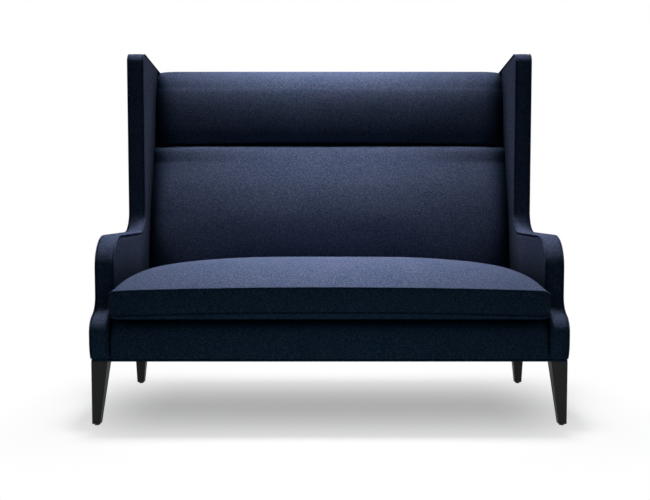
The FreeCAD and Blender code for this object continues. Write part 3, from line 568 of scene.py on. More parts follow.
def side_line(inset, rear_inset, foot, tucked=True):
    """The front and top edge of a side as y and z, from its foot to its rear corner."""
    made = sizes()
    waist = made.waist_radius
    tuck_top = made.leg_height + made.tuck_height
    bend = 1 - made.arm_setback / (2 * waist)
    fall = math.sqrt(1 - bend * bend)
    lower = (base_front + waist, made.shoulder)
    upper = (lower[0] - 2 * waist * bend, lower[1] + 2 * waist * fall)
    nose_front = base_front + made.arm_setback
    nose = (nose_front + made.nose_radius, made.arm_height - made.nose_radius)
    wing_front = base_front + made.wing_setback
    wing_foot = (wing_front - made.wing_foot_radius, made.arm_height + made.wing_foot_radius)
    top = (wing_front + made.wing_top_radius, made.side_top - made.wing_top_radius)
    crown = made.wing_top_radius - inset
    crown_end = (top[0] + crown * math.sin(made.wing_slope), top[1] + crown * math.cos(made.wing_slope))
    rake = math.tan(made.back_rake)
    drop = math.tan(made.wing_slope)
    rear = raked(0.0, rear_inset)
    corner_z = (crown_end[1] - (rear - crown_end[0]) * drop) / (1 + rake * drop)
    stops = [((front_at(foot, inset) if tucked else base_front + inset, foot), None)]
    tuck_centre = (base_front + tuck_radius(), tuck_top) if tucked else None
    stops += [
        ((base_front + inset, max(tuck_top, foot + 0.001)), tuck_centre),
        ((base_front + inset, max(made.shoulder, foot + 0.002)), None),
        ((lower[0] - (waist - inset) * bend, lower[1] + (waist - inset) * fall), lower),
        ((upper[0] + waist + inset, upper[1]), upper),
        ((nose_front + inset, nose[1]), None),
        ((nose[0], made.arm_height - inset), nose),
        ((wing_foot[0], made.arm_height - inset), None),
        ((wing_front + inset, wing_foot[1]), wing_foot),
        ((wing_front + inset, top[1]), None),
        (crown_end, top),
        ((rear + corner_z * rake, corner_z), None),
    ]
    points = [stops[0][0]]
    for (first, unused), (last, centre), steps in zip(stops, stops[1:], FACING_STEPS):
        points += between(first, last, centre, steps)
    return points


def between(first, last, centre, steps):
    """Points after the first up to the last, on a line or round a centre."""
    found = []
    for step in range(1, steps + 1):
        part = step / steps
        if centre is None:
            found.append((first[0] + (last[0] - first[0]) * part, first[1] + (last[1] - first[1]) * part))
            continue
        start = math.atan2(first[1] - centre[1], first[0] - centre[0])
        end = math.atan2(last[1] - centre[1], last[0] - centre[0])
        turn = start + math.remainder(end - start, math.tau) * part
        reach = math.hypot(first[0] - centre[0], first[1] - centre[1])
        reach += (math.hypot(last[0] - centre[0], last[1] - centre[1]) - reach) * part
        found.append((centre[0] + reach * math.cos(turn), centre[1] + reach * math.sin(turn)))
    return found


def side_outline(inset, rear_inset, foot, tucked):
    """A side's whole outline, under the facing's seam and closed along its rake and its foot."""
    line = side_line(inset + PANEL_LAP, rear_inset + inset, foot + inset, tucked)
    corner = line[-1]
    rear_foot = (raked(foot + inset, rear_inset + inset), foot + inset)
    line += between(corner, rear_foot, None, 40)
    line += between(rear_foot, line[0], None, 36)[:-1]
    return line


# Insets of the rows of points beside a seam, and where the open net of a panel starts.
SEAM_ROWS = (0.0, 0.0006, 0.0015, 0.003, 0.0055, 0.009, 0.014, 0.021)
NET = 0.016
BROAD = 0.07
PANEL_LAP = 0.0022
PANEL_DIP = 0.0028
PANEL_TURN = 0.012
OUTSIDE_CROWN = 0.0012
INSIDE_CROWN = 0.0010
# How far the inside panels end in front of the rear plane.
INSIDE_REAR = 0.0435


def inside(points, outline):
    """Which points lie in an outline, and how far from it."""
    a = np.array(outline)
    b = np.roll(a, -1, axis=0)
    p = np.array(points)[:, None, :]
    crossing = (a[:, 1] > p[..., 1]) != (b[:, 1] > p[..., 1])
    with np.errstate(divide="ignore", invalid="ignore"):
        at = a[:, 0] + (p[..., 1] - a[:, 1]) * (b[:, 0] - a[:, 0]) / (b[:, 1] - a[:, 1])
    odd = (crossing & (p[..., 0] < at)).sum(axis=1) % 2 == 1
    run = b - a
    part = ((p - a) * run).sum(-1) / np.maximum((run * run).sum(-1), 1e-12)
    near = a + run * np.clip(part, 0, 1)[..., None]
    return odd, np.sqrt(((p - near) ** 2).sum(-1)).min(axis=1)


def sewn_panel(outline_at, place, crown, back):
    """Points and faces of a padded panel that turns in to its seams all round."""
    flat = []
    edges = []
    insets = []
    for inset in SEAM_ROWS:
        ring = outline_at(inset)
        start = len(flat)
        flat += ring
        insets += [inset] * len(ring)
        edges += [(start + index, start + (index + 1) % len(ring)) for index in range(len(ring))]
    outline = outline_at(0.0)
    innermost = outline_at(SEAM_ROWS[-1])
    low = np.min(outline, axis=0)
    high = np.max(outline, axis=0)
    net = []
    for row, v in enumerate(np.arange(low[1], high[1], NET * 0.87)):
        net += [(u + NET / 2 * (row % 2), v) for u in np.arange(low[0], high[0], NET)]
    held, gap = inside(net, innermost)
    net = [point for point, keep, reach in zip(net, held, gap) if keep and reach > NET * 0.6]
    far = inside(net, outline)[1]
    flat += net
    insets += list(far)
    corners, unused, faces, found = geometry.delaunay_2d_cdt(
        [Vector(point) for point in flat], edges, [], 1, 1e-7
    )[:4]
    points = []
    for corner, came in zip(corners, found):
        inset = insets[came[0]] if came else 0.0
        turn = max(0.0, 1 - inset / PANEL_TURN)
        depth = crown * (1 - math.exp(-inset / BROAD)) - PANEL_DIP * turn**2.4
        points.append(place(corner.x, corner.y, depth))
    faces = [tuple(face) for face in faces]
    rim = len(outline)
    start = len(points)
    order = {came[0]: index for index, came in enumerate(found) if came}
    points += [place(u, v, -back) for u, v in outline]
    for index in range(rim):
        after = (index + 1) % rim
        faces.append((order[index], order[after], start + after, start + index))
    faces.append(tuple(start + index for index in range(rim)))
    return points, faces


def make_sides():
    for side, sign in SIDES:

        def outer(y, z, depth):
            return Vector((sign * (outside_face + depth + swell(y, z, sign, 0.19, 0.0006)), y, z))

        def inner(y, z, depth):
            return Vector((sign * (inside_face - depth - swell(y, z, sign + 5, 0.15, 0.0005)), y, z))

        def outer_edge(inset):
            return side_outline(inset, 0.0, cover_foot, True)

        def inner_edge(inset):
            return side_outline(inset, INSIDE_REAR, inside_foot, False)

        skin = sewn_panel(outer_edge, outer, OUTSIDE_CROWN, outside_face - wadding_back)
        hidden = (f"outside_cover_{side}", f"side_outer_wadding_{side}")
        sewn_piece(f"side_outside_{side}", skin, *hidden, fill=0.9)
        skin = sewn_panel(inner_edge, inner, INSIDE_CROWN, panel_inside - inside_face)
        hidden = (f"inside_cover_{side}", f"side_inner_pad_{side}")
        sewn_piece(f"side_inside_{side}", skin, *hidden, fill=0.8)
        make_facing(side, sign)
        make_welts(side, sign)


FACING_STATIONS = 17
FACING_BACK = 0.0145
# Where the turned edge of the facing starts, as a share of its half width.
FACING_EDGE = 0.74
# How far the facing and its welts stand from the faces of the side.
FACING_ASIDE = 0.0022
WELT_ASIDE = 0.0017
WELT_INSET = 0.0019
BOARD = 0.0055


def make_facing(side, sign):
    """The padded strip round the front and top edge of a side."""
    dip = sizes().seam_dip
    middle = (inside_face + outside_face) / 2
    half = (outside_face - inside_face) / 2 - FACING_ASIDE
    profile = []
    for station in range(FACING_STATIONS):
        across = math.sin(math.pi / 2 * (2 * station / (FACING_STATIONS - 1) - 1))
        edge = max(0.0, (abs(across) - FACING_EDGE) / (1 - FACING_EDGE))
        inset = dip * (1 - math.sqrt(max(0.0, 1 - edge * edge * 0.98))) + 0.0009 * across**2 - 0.0002
        profile.append((across, inset))
    lines = []
    for across, inset in (*profile, (1, FACING_BACK), (-1, FACING_BACK)):
        line = side_line(inset, BOARD, cover_foot)
        lines.append([Vector((sign * (middle + half * across), y, z)) for y, z in line])
    rings = [list(ring) for ring in zip(*lines)]
    for ring in rings:
        for index in range(2, FACING_STATIONS - 2):
            point = ring[index]
            point.y += swell(point.x * 2, point.y, point.z, 0.11, 0.0007)
    hidden = (f"facing_cover_{side}", f"facing_pad_{side}")
    sewn_piece(f"side_facing_{side}", lofted(rings), *hidden, fill=0.9)


def make_welts(side, sign):
    """The two sewn welts of a side."""
    radius = sizes().welt_radius
    parts = []
    for x in (inside_face + WELT_ASIDE, outside_face - WELT_ASIDE):
        line = side_line(WELT_INSET, BOARD, cover_foot + radius)
        parts.append(lofted(cord_rings([Vector((sign * x, y, z)) for y, z in line], radius)))
    sewn_piece(f"side_welts_{side}", joined(parts), f"facing_welts_{side}")


# Back.

ACROSS = 96
STRAP_INSET = 0.0458
PAD_LEVELS = 64
# How far from the wings the pads start to round, and how much less full they are beside them.
PAD_TURN = 0.080
LOWER_GIVE = 0.025
BOLSTER_GIVE = 0.020
# How uneven they are, the room that each leaves at the crease, and the least foam before the straps.
LOWER_WAVE = 0.0016
BOLSTER_WAVE = 0.0014
CREASE_ROOM = 0.0004
LEAST_FOAM = 0.002
# Foam thinner than this draws back less beside the wings.
THIN_FOAM = 0.055


def stations(reach, count):
    """Places from side to side, closer together at the ends."""
    found = []
    for index in range(count + 1):
        part = 2 * index / count - 1
        found.append(reach * math.copysign(1 - (1 - abs(part)) ** 1.5, part))
    return found


def end_turn(x, reach, width):
    """0 along the pad, and 1 at its very end, round like the end of a roll."""
    part = max(0.0, 1 - (reach - abs(x)) / width)
    return 1 - math.sqrt(max(0.0, 1 - part**2.2))


def on_rake(x, z, inset=STRAP_INSET):
    """A point on the straps of the back, or on another plane with its rake."""
    return Vector((x, raked(z, inset), z))


def crease_at(x):
    return crease - sizes().crease_dip * abs(x / pad_reach) ** 5


def through(table, value):
    """A smooth curve through a table of stops."""
    places = [stop[0] for stop in table]
    index = min(max(1, sum(1 for place in places if place <= value)), len(table) - 1)
    low, high = index - 1, index
    before, after = max(0, low - 1), min(len(table) - 1, high + 1)

    def rate(left, right):
        return (table[right][1] - table[left][1]) / (places[right] - places[left])

    span = places[high] - places[low]
    part = min(max((value - places[low]) / span, 0.0), 1.0)
    start, end = table[low][1], table[high][1]
    head, tail = rate(before, high) * span, rate(low, after) * span
    cube, square = part**3, part**2
    return (
        (2 * cube - 3 * square + 1) * start
        + (cube - 2 * square + part) * head
        + (3 * square - 2 * cube) * end
        + (cube - square) * tail
    )


# The lower pad in the middle: height as a share of its whole height, foam in front of the straps.
LOWER_PAD = (
    (0.0, 0.070),
    (0.20, 0.080),
    (0.40, 0.091),
    (0.53, 0.094),
    (0.64, 0.0905),
    (0.74, 0.0830),
    (0.83, 0.0715),
    (0.90, 0.0605),
    (0.945, 0.0520),
    (0.972, 0.0440),
    (0.988, 0.0340),
    (0.997, 0.0180),
    (1.0, 0.0030),
)


def make_lower_pad():
    made = sizes()
    rings = []
    foot = pad_foot
    for x in stations(pad_reach, ACROSS):
        fullness = 1 - (x / pad_reach) ** 2
        end = end_turn(x, pad_reach, PAD_TURN)
        top = crease_at(x) - CREASE_ROOM
        ring = []
        for level in range(PAD_LEVELS + 1):
            part = 1 - (1 - level / PAD_LEVELS) ** 1.35
            z = foot + (top - foot) * part
            foam = through(LOWER_PAD, part)
            loose = min(1.0, (1 - part) * 9) ** 0.7
            foam -= LOWER_GIVE * (1 - fullness) * min(1.0, 0.25 + part * 1.4) * loose
            foam -= made.pad_end * end * min(1.0, foam / THIN_FOAM)
            foam += swell(x, 3.0, z, 0.21, LOWER_WAVE) * loose
            ring.append(Vector((x, raked(z, STRAP_INSET) - max(foam, LEAST_FOAM), z)))
        for part in (1.0, 0.75, 0.5, 0.25, 0.0):
            ring.append(on_rake(x, foot + (top - foot) * part))
        rings.append(ring)
    sewn_piece("back_lower_pad", lofted(rings), "lower_back_pad", "lower_back_cover", fill=0.8)


# The bolster in the middle: y and z round its face from the crease over the top to its rear edge.
BOLSTER = (
    (0.3045, 0.0),
    (0.2930, 0.0012),
    (0.2835, 0.0065),
    (0.2765, 0.0165),
    (0.2728, 0.0310),
    (0.2716, 0.0500),
    (0.2721, 0.0730),
    (0.2742, 0.1030),
    (0.2780, 0.1350),
    (0.2835, 0.1665),
    (0.2912, 0.1960),
    (0.2988, 0.2135),
    (0.3084, 0.2303),
    (0.3197, 0.2450),
    (0.3341, 0.2585),
    (0.3495, 0.2690),
    (0.3667, 0.2773),
    (0.3847, 0.2830),
    (0.3985, 0.2850),
)
BOLSTER_STEPS = 5
# The bolster's upper ends fall from this rise over the crease.
SHOULDER_RISE, SHOULDER_SPAN, SHOULDER_FALL = 0.15, 0.13, 0.0060
# Up to just over the posts it stays this far before the straps.
FRAME_ROOM = 0.003
STRAP_COVER = 0.0015


def make_bolster():
    made = sizes()
    shares = [index / (len(BOLSTER) - 1) for index in range(len(BOLSTER))]
    depths = [(part, stop[0]) for part, stop in zip(shares, BOLSTER)]
    rises = [(part, stop[1]) for part, stop in zip(shares, BOLSTER)]
    steps = (len(BOLSTER) - 1) * BOLSTER_STEPS
    frame_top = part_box("back_post_left")[1].z + 0.0003
    rings = []
    for x in stations(pad_reach, ACROSS):
        fullness = 1 - (x / pad_reach) ** 2
        end = end_turn(x, pad_reach, PAD_TURN)
        foot = crease_at(x) + CREASE_ROOM
        ring = []
        for step in range(steps + 1):
            part = step / steps
            y = through(depths, part)
            rise = through(rises, part)
            loose = min(1.0, part * 5) * min(1.0, (1 - part) * 2.6)
            y += (BOLSTER_GIVE * (1 - fullness) + made.pad_end * end) * loose
            y += swell(x, 9.0, rise, 0.19, BOLSTER_WAVE) * loose
            fall = max(0.0, rise - SHOULDER_RISE) / SHOULDER_SPAN
            z = foot + rise + (crease - foot) * min(1.0, rise * 4) - SHOULDER_FALL * end * fall**2
            if z < frame_top + FRAME_ROOM:
                y = min(y, raked(z, STRAP_INSET) - STRAP_COVER)
            ring.append(Vector((x, y, z)))
        ring.append(on_rake(x, frame_top, BOARD))
        ring += [on_rake(x, z) for z in (frame_top, crease + 0.09, foot)]
        rings.append(ring)
    sewn_piece("back_bolster", lofted(rings), "bolster_pad", "bolster_cover", fill=0.9)


BACK_INSET = 0.0014
BACK_DROP = 0.0015
BACK_THICKNESS = 0.0025


def make_outside_back():
    """The plain felt panel behind, sewn in between the sides."""
    half = outside_face - BACK_INSET
    rake = sizes().back_rake
    foot_s = cover_foot / math.cos(rake)
    top_s = (rear_top - BACK_DROP) / math.cos(rake)

    def outline(inset):
        corners = [(-half + inset, foot_s + inset), (half - inset, foot_s + inset)]
        corners += [(half - inset, top_s - inset), (-half + inset, top_s - inset)]
        line = []
        for index, corner in enumerate(corners):
            line += between(corners[index - 1], corner, None, 60 if index % 2 else 44)
        return line

    def place(x, s, depth):
        z = s * math.cos(rake)
        y = raked(z, -depth - swell(x, z, 21.0, 0.24, 0.0008))
        return Vector((x, y, z))

    sewn_piece("back_outside", sewn_panel(outline, place, 0.0, BACK_THICKNESS), "outside_back_cover")


# Seat base.

ROLL_RISE, ROLL_DEPTH = 0.052, 0.030
DECK_LIP = 0.045
DECK_SETBACK = 0.066
WELT_FLATNESS = 0.85
WELT_PROUD = 0.0008
ROLL_STEPS = 14
# Above this height the front rail's ends turn in over the deck.
RAIL_TURN = 0.27
# How far those ends draw back below it, fall above it and draw back above it.
RAIL_TUCK, RAIL_FALL, RAIL_SETBACK = 0.0030, 0.0110, 0.0120

def make_front_rail():
    """The felt over the front rail, which turns in over its upper edge."""
    foot = cover_foot + 0.0006
    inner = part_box("front_edge_roll")[1].y
    lip = rail_face + ROLL_DEPTH + DECK_LIP
    profile = [(rail_face, foot)]
    profile += between(profile[0], (rail_face, deck_top - ROLL_RISE), None, 12)
    for step in range(1, ROLL_STEPS + 1):
        turn = math.pi / 2 * step / ROLL_STEPS
        depth, drop = ROLL_DEPTH * (1 - math.cos(turn)), ROLL_RISE * (1 - math.sin(turn))
        profile.append((rail_face + depth, deck_top - drop))
    profile += between(profile[-1], (lip, deck_top), None, 5)
    count = len(profile)
    profile += [(lip, deck_top - 0.012), (inner, deck_top - 0.014), (inner, foot)]
    rings = []
    for x in stations(pad_reach, ACROSS):
        end = end_turn(x, pad_reach, 0.030)
        still = min(1.0, (pad_reach - abs(x)) / 0.03)
        ring = []
        for index, (y, z) in enumerate(profile):
            if index < count:
                upper = max(0.0, (z - RAIL_TURN) / (deck_top - RAIL_TURN))
                y += RAIL_TUCK * end * (1 - upper) + swell(x, 31.0, z, 0.17, 0.0009) * still
                z -= RAIL_FALL * end * upper
                y += RAIL_SETBACK * end * upper
            ring.append(Vector((x, y, z)))
        rings.append(ring)
    sewn_piece("rail_front", lofted(rings), "front_rail_cover", "front_edge_roll", fill=0.9)


def slab(reach, front, back, foot, counts, top_at):
    """A flat piece from side to side whose top is uneven and whose foot is level."""
    across, along = counts
    rings = []
    for x in stations(reach, across):
        ring = []
        for step in range(along + 1):
            part = step / along
            y = front + (back - front) * part
            ring.append(Vector((x, y, top_at(x, y, part))))
        rings.append(ring + [Vector((x, back, foot)), Vector((x, front, foot))])
    return lofted(rings)


def make_deck():
    """The foam deck under the cushion in its lining cloth."""
    low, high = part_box("deck_pad")

    def top_at(x, y, part):
        end = end_turn(x, high.x, 0.05)
        edge = max(0.0, 1 - min(part, 1 - part) / 0.03)
        sink = 0.004 * math.sin(math.pi * part) ** 2 * (1 - end) + 0.003 * edge**2 + 0.003 * end
        return deck_top - 0.0004 - sink + swell(x, y, 41.0, 0.12, 0.0006)

    skin = slab(high.x, rail_face + DECK_SETBACK, high.y, low.z, (60, 30), top_at)
    deck = new_piece("seat_deck", skin, "lining", SETTEE, ("deck_pad", "deck_cover"), fill=0.9)
    crisp_edges(deck, 50)


def rounded_loop(half, front, back, corner, level, spacing):
    """Points round a rectangle with round corners."""
    side, near, far = half - corner, front + corner, back - corner
    stops = [
        ((side, front), None), ((half, near), (side, near)),
        ((half, far), None), ((side, back), (side, far)),
        ((-side, back), None), ((-half, far), (-side, far)),
        ((-half, near), None), ((-side, front), (-side, near)),
    ]
    line = []
    for index, (stop, centre) in enumerate(stops):
        first = stops[index - 1][0]
        reach = math.hypot(stop[0] - first[0], stop[1] - first[1])
        steps = 6 if centre else max(2, round(reach / spacing))
        line += between(first, stop, centre, steps)
    return [Vector((x, y, level)) for x, y in line]


def make_base_welt():
    """The flat welt round the foot of the body."""
    low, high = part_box("base_welt")
    radius = (high.z - low.z) / 2
    level = (high.z + low.z) / 2
    middle = radius * WELT_FLATNESS
    edge = WELT_PROUD - middle
    line = rounded_loop(high.x + edge, low.y - edge, high.y + edge, 0.008, level, 0.025)
    rings = []
    total = len(line)
    for index, point in enumerate(line):
        heading = (line[(index + 1) % total] - line[index - 1]).normalized()
        out = heading.cross(Vector((0, 0, 1)))
        ring = []
        for side in range(14):
            turn = math.tau * side / 14
            rise = Vector((0, 0, radius * math.sin(turn)))
            ring.append(point + out * middle * math.cos(turn) + rise)
        rings.append(ring)
    sewn_piece("foot_welt", lofted(rings, closed_run=True), "base_welt")


# Seat cushion.

cushion_low, cushion_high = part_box("cushion_cover")
welts_low, welts_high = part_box("cushion_welts")
CELL = 0.011
EDGE_ROWS = (0.0, 0.0012, 0.003, 0.006)
BORDER_ROWS = 12
CREST = 0.45
CORNER_FALL = 0.013
CORNER_WIDTH = 0.032
UNDER_TURN = 0.034


def edge_places(low, high, spacing):
    """Places from low to high: close rows beside both seams and even ones between."""
    near = list(EDGE_ROWS)
    inner_low, inner_high = low + near[-1], high - near[-1]
    steps = round((inner_high - inner_low) / spacing)
    even = [inner_low + (inner_high - inner_low) * step / steps for step in range(1, steps)]
    return [low + row for row in near] + even + [high - row for row in near[::-1]]


class CushionForm:
    """The seat cushion's mesh: top, border and underside share the two seams."""

    def __init__(self):
        made = sizes()
        self.half = welts_high.x - 2 * made.piping_radius + 0.0012
        self.front = cushion_low.y + 0.0048
        self.back = cushion_high.y
        self.middle = (self.front + self.back) / 2
        self.low_seam = welts_low.z + made.piping_radius - 0.0045
        self.high_seam = welts_high.z - made.piping_radius - 0.006
        self.foot = cushion_low.z
        self.corner = made.cushion_corner
        self.points = []
        self.faces = []
        self.kinds = []
        self.seams = {}

    def seam_rise(self, x, y):
        """How far a seam rises at a place: to the middle of the front."""
        along = 1 - abs(x / self.half) ** 2.2
        front_share = max(0.0, 1 - (y - self.front) / 0.30)
        return sizes().seam_rise * along * front_share

    def corner_fall(self, x):
        """How far the upper seam falls at the ends, where the corners are pulled round."""
        return CORNER_FALL * max(0.0, 1 - (self.half - abs(x)) / CORNER_WIDTH) ** 1.7

    def place(self, x, y):
        """A point of the cushion's rectangle moved so that the corners are round."""
        corner = self.corner
        side, end = self.half - corner, (self.back - self.front) / 2 - corner
        over_x = (abs(x) - side) / corner
        over_y = (abs(y - self.middle) - end) / corner
        if over_x <= 0 or over_y <= 0:
            return x, y
        new_x = side + over_x * math.sqrt(1 - over_y * over_y / 2) * corner
        new_y = end + over_y * math.sqrt(1 - over_x * over_x / 2) * corner
        return math.copysign(new_x, x), self.middle + math.copysign(new_y, y - self.middle)

    def crown(self, x, y):
        """Rise of the top over its seam."""
        across = max(0.0, 1 - min(1.0, abs(x) / self.half) ** 3.4) ** 0.50
        crest = self.front + (self.back - self.front) * CREST
        if y < crest:
            part = (y - self.front) / (crest - self.front)
        else:
            part = (self.back - y) / (self.back - crest)
        along = 1 - (1 - min(1.0, max(0.0, part))) ** 2.8
        return (sizes().cushion_crown - self.seam_rise(x, y) * 0.5) * across * along

    def level(self, x, y, px, py, kind):
        """Height of the top or the underside over a place that moved to px, py."""
        rise = self.seam_rise(px, py)
        if kind == "top":
            return self.high_seam + rise - self.corner_fall(px) + self.crown(x, y)
        reach = min(self.half - abs(x), y - self.front, self.back - y)
        turn = max(0.0, 1 - reach / UNDER_TURN)
        lift = 1 - math.sqrt(max(0.0, 1 - turn**2))
        return self.foot + (self.low_seam + rise - self.foot + self.corner_fall(px) * 0.35) * lift

    def build(self):
        xs = edge_places(-self.half, self.half, CELL)
        ys = edge_places(self.front, self.back, CELL)
        last_x, last_y = len(xs) - 1, len(ys) - 1
        rim = [(i, 0) for i in range(last_x)] + [(last_x, j) for j in range(last_y)]
        rim += [(i, last_y) for i in range(last_x, 0, -1)] + [(0, j) for j in range(last_y, 0, -1)]
        for kind, seam in (("top", "upper"), ("under", "lower")):
            start = len(self.points)
            for x in xs:
                for y in ys:
                    px, py = self.place(x, y)
                    self.add(px, py, self.level(x, y, px, py, kind), kind)
            self.faces += net_faces(len(xs), len(ys), start)
            self.seams[seam] = [start + i * len(ys) + j for i, j in rim]
        rows = [self.seams["lower"]]
        for row in range(1, BORDER_ROWS):
            part = row / BORDER_ROWS
            bulge = sizes().cushion_bulge * 4 * part * (1 - part)
            line = []
            for low, high in zip(self.seams["lower"], self.seams["upper"]):
                mid = self.points[low].lerp(self.points[high], part)
                behind = mid.y > self.back - 0.01
                out = Vector((mid.x * 0.15, mid.y - self.middle, 0)).normalized()
                if abs(mid.x) > self.half - 0.004:
                    out = Vector((math.copysign(1, mid.x), 0, 0))
                if not behind:
                    mid += out * bulge
                line.append(self.add(mid.x, mid.y, mid.z, "rear" if behind else "border"))
            rows.append(line)
        rows.append(self.seams["upper"])
        for low, high in zip(rows, rows[1:]):
            for index in range(len(rim)):
                after = (index + 1) % len(rim)
                self.faces.append((low[index], low[after], high[after], high[index]))
        return self

    def add(self, x, y, z, kind):
        self.points.append(Vector((x, y, z)))
        self.kinds.append(kind)
        return len(self.points) - 1


def positions(mesh):
    found = np.empty(len(mesh.vertices) * 3, np.float32)
    mesh.vertices.foreach_get("co", found)
    return found.reshape(-1, 3).astype(float)


CLOTH_QUALITY = 6
CLOTH_PRESSURE = 4.0
CLOTH_FRAMES = 20


def stuffed(piece, held, caps):
    """Swells a piece as cloth under pressure, each point by no more than its cap."""
    before = positions(piece.data)
    group = piece.vertex_groups.new(name="sewn")
    group.add(held, 1.0, "REPLACE")
    cloth = piece.modifiers.new("stuffing", "CLOTH")
    cloth.settings.quality = CLOTH_QUALITY
    cloth.settings.use_pressure = True
    cloth.settings.uniform_pressure_force = CLOTH_PRESSURE
    cloth.settings.vertex_group_mass = group.name
    cloth.settings.effector_weights.gravity = 0.0
    scene = bpy.context.scene
    for number in range(1, CLOTH_FRAMES + 1):
        scene.frame_set(number)
    shown = piece.evaluated_get(bpy.context.evaluated_depsgraph_get())
    after = positions(shown.data)
    piece.modifiers.remove(cloth)
    piece.vertex_groups.remove(group)
    scene.frame_set(1)
    move = after - before
    length = np.linalg.norm(move, axis=1)
    move *= (np.minimum(length, caps) / np.maximum(length, 1e-9))[:, None]
    piece.data.vertices.foreach_set("co", (before + move).astype(np.float32).ravel())
    piece.data.update()


def subdivided(piece, levels):
    """Applies a subdivision surface to a mesh."""
    rounding = piece.modifiers.new("rounding", "SUBSURF")
    rounding.levels = levels
    rounding.render_levels = levels
    shown = piece.evaluated_get(bpy.context.evaluated_depsgraph_get())
    mesh = bpy.data.meshes.new_from_object(shown)
    piece.modifiers.remove(rounding)
    old = piece.data
    piece.data = mesh
    bpy.data.meshes.remove(old)
    for polygon in mesh.polygons:
        polygon.use_smooth = True


CAPS = {"top": 0.0070, "border": 0.0015, "under": 0.0, "rear": 0.0}


def make_cushion():
    form = CushionForm().build()
    piece = new_object("cushion_case", (form.points, form.faces), finish(*FINISHES["felt"]))
    caps = np.array([CAPS[kind] for kind in form.kinds])
    sewn = set(form.seams["upper"]) | set(form.seams["lower"])
    held = [index for index, kind in enumerate(form.kinds) if CAPS[kind] == 0.0 or index in sewn]
    caps[list(sewn)] = 0.0
    stuffed(piece, held, caps)
    subdivided(piece, 1)
    placed(piece, CUSHION, ("cushion_cover", "cushion_core"), fill=0.85)
    make_cushion_welts(form)


def make_cushion_welts(form):
    """The two sewn welts of the cushion, along its seams."""
    radius = sizes().piping_radius
    corner_x = form.half - form.corner
    corner_y = (form.back - form.front) / 2 - form.corner
    parts = []
    for name, lift in (("upper", 0.0004), ("lower", -0.0004)):
        line = []
        for index in form.seams[name]:
            point = form.points[index]
            aside = point.y - form.middle
            out = Vector((0, math.copysign(1, aside), 0))
            if form.half - abs(point.x) < form.corner:
                out = Vector((point.x - math.copysign(corner_x, point.x), 0, 0))
                if abs(aside) > abs(corner_y):
                    out.y = aside - math.copysign(corner_y, aside)
                out.normalize()
            line.append(point + out * radius * 0.45 + Vector((0, 0, lift)))
        parts.append(lofted(cord_rings(line, radius, closed=True), closed_run=True))
    new_piece("cushion_piping", joined(parts), "felt", CUSHION, ("cushion_welts",))


# Zip.


def brick(low, high, taper=0.0):
    """Points and faces of a small block, narrower at its outer end."""
    points = []
    for z in (low[2], high[2]):
        for y, inset in ((low[1], 0.0), (high[1], taper)):
            points.append(Vector((low[0] + inset, y, z)))
            points.append(Vector((high[0] - inset, y, z)))
    faces = [(0, 1, 3, 2), (4, 6, 7, 5), (0, 4, 5, 1), (2, 3, 7, 6), (0, 2, 6, 4), (1, 5, 7, 3)]
    return points, faces


def make_zip():
    low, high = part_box("cushion_zip")
    middle = (low.z + high.z) / 2
    tapes = []
    for inner, outer in ((0.0006, 0.0040), (-0.0006, -0.0040)):
        rings = []
        for index in range(81):
            x = low.x + (high.x - low.x) * index / 80
            base = low.y - 0.0006
            near, far = middle + inner, middle + outer
            profile = ((0.0, near), (0.0012, near), (0.0013, (near + far) / 2), (0.0009, far), (0.0, far))
            rings.append([Vector((x, base + rise, z)) for rise, z in profile])
        tapes.append(lofted(rings))
    crisp_edges(new_piece("zip_tape", joined(tapes), "zip_tape", CUSHION, ("cushion_zip",)), 40)

    teeth = []
    pitch = 0.0028
    count = int((high.x - low.x - 0.004) / pitch)
    for index in range(count):
        x = low.x + 0.002 + pitch * index
        lift = 0.0007 if index % 2 else -0.0007
        bottom = (x, low.y, middle + lift - 0.0014)
        top = (x + pitch * 0.62, high.y - 0.0002, middle + lift + 0.0014)
        teeth.append(brick(bottom, top, pitch * 0.12))
    for end in (low.x + 0.0004, high.x - 0.0024):
        teeth.append(brick((end, low.y, middle - 0.003), (end + 0.002, high.y, middle + 0.003), 0.0003))
    crisp_edges(new_piece("zip_teeth", joined(teeth), "zip_tape", CUSHION, look=ZIP_NYLON), 30)


def make_slider():
    """The slider: a body that narrows to one end, a bridge and a pull tab."""
    low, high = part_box("zip_slider")
    middle = (low.z + high.z) / 2
    length = high.x - low.x
    rings = []
    for part, width in ((0.0, 0.55), (0.08, 0.8), (0.3, 0.98), (0.55, 1.0), (0.7, 0.8), (0.78, 0.62)):
        x = low.x + length * part
        half = 0.0048 * width
        ring = []
        for turn in range(16):
            angle = math.tau * turn / 16
            y = low.y + 0.0004 + 0.0006 * (1 + math.sin(angle))
            across = math.copysign(abs(math.cos(angle)) ** 0.5, math.cos(angle))
            ring.append(Vector((x, y, middle + half * across)))
        rings.append(ring)
    parts = [lofted(rings)]
    arch = ((0.12, 0.0), (0.18, 0.0007), (0.3, 0.0010), (0.42, 0.0010), (0.54, 0.0007), (0.6, 0.0))
    bridge = [Vector((low.x + length * part, low.y + 0.0012 + rise, middle)) for part, rise in arch]
    parts.append(lofted(cord_rings(bridge, 0.0006, sides=8)))
    tab = []
    for part in range(13):
        share_along = part / 12
        x = low.x + length * (0.36 + 0.62 * share_along)
        half = 0.0021 + 0.0012 * math.sin(math.pi * min(1.0, share_along * 1.1)) ** 0.6
        y = low.y + 0.0022 - 0.0004 * share_along
        if part == 12:
            half *= 0.55
        profile = ((0.0, -1.0), (0.0006, -0.9), (0.0006, 0.9), (0.0, 1.0))
        tab.append([Vector((x, y + rise, middle + half * share_across)) for rise, share_across in profile])
    parts.append(lofted(tab))
    crisp_edges(new_piece("zip_pull", joined(parts), "zip_metal", SLIDER, ("zip_slider",)), 35)


# Underside.


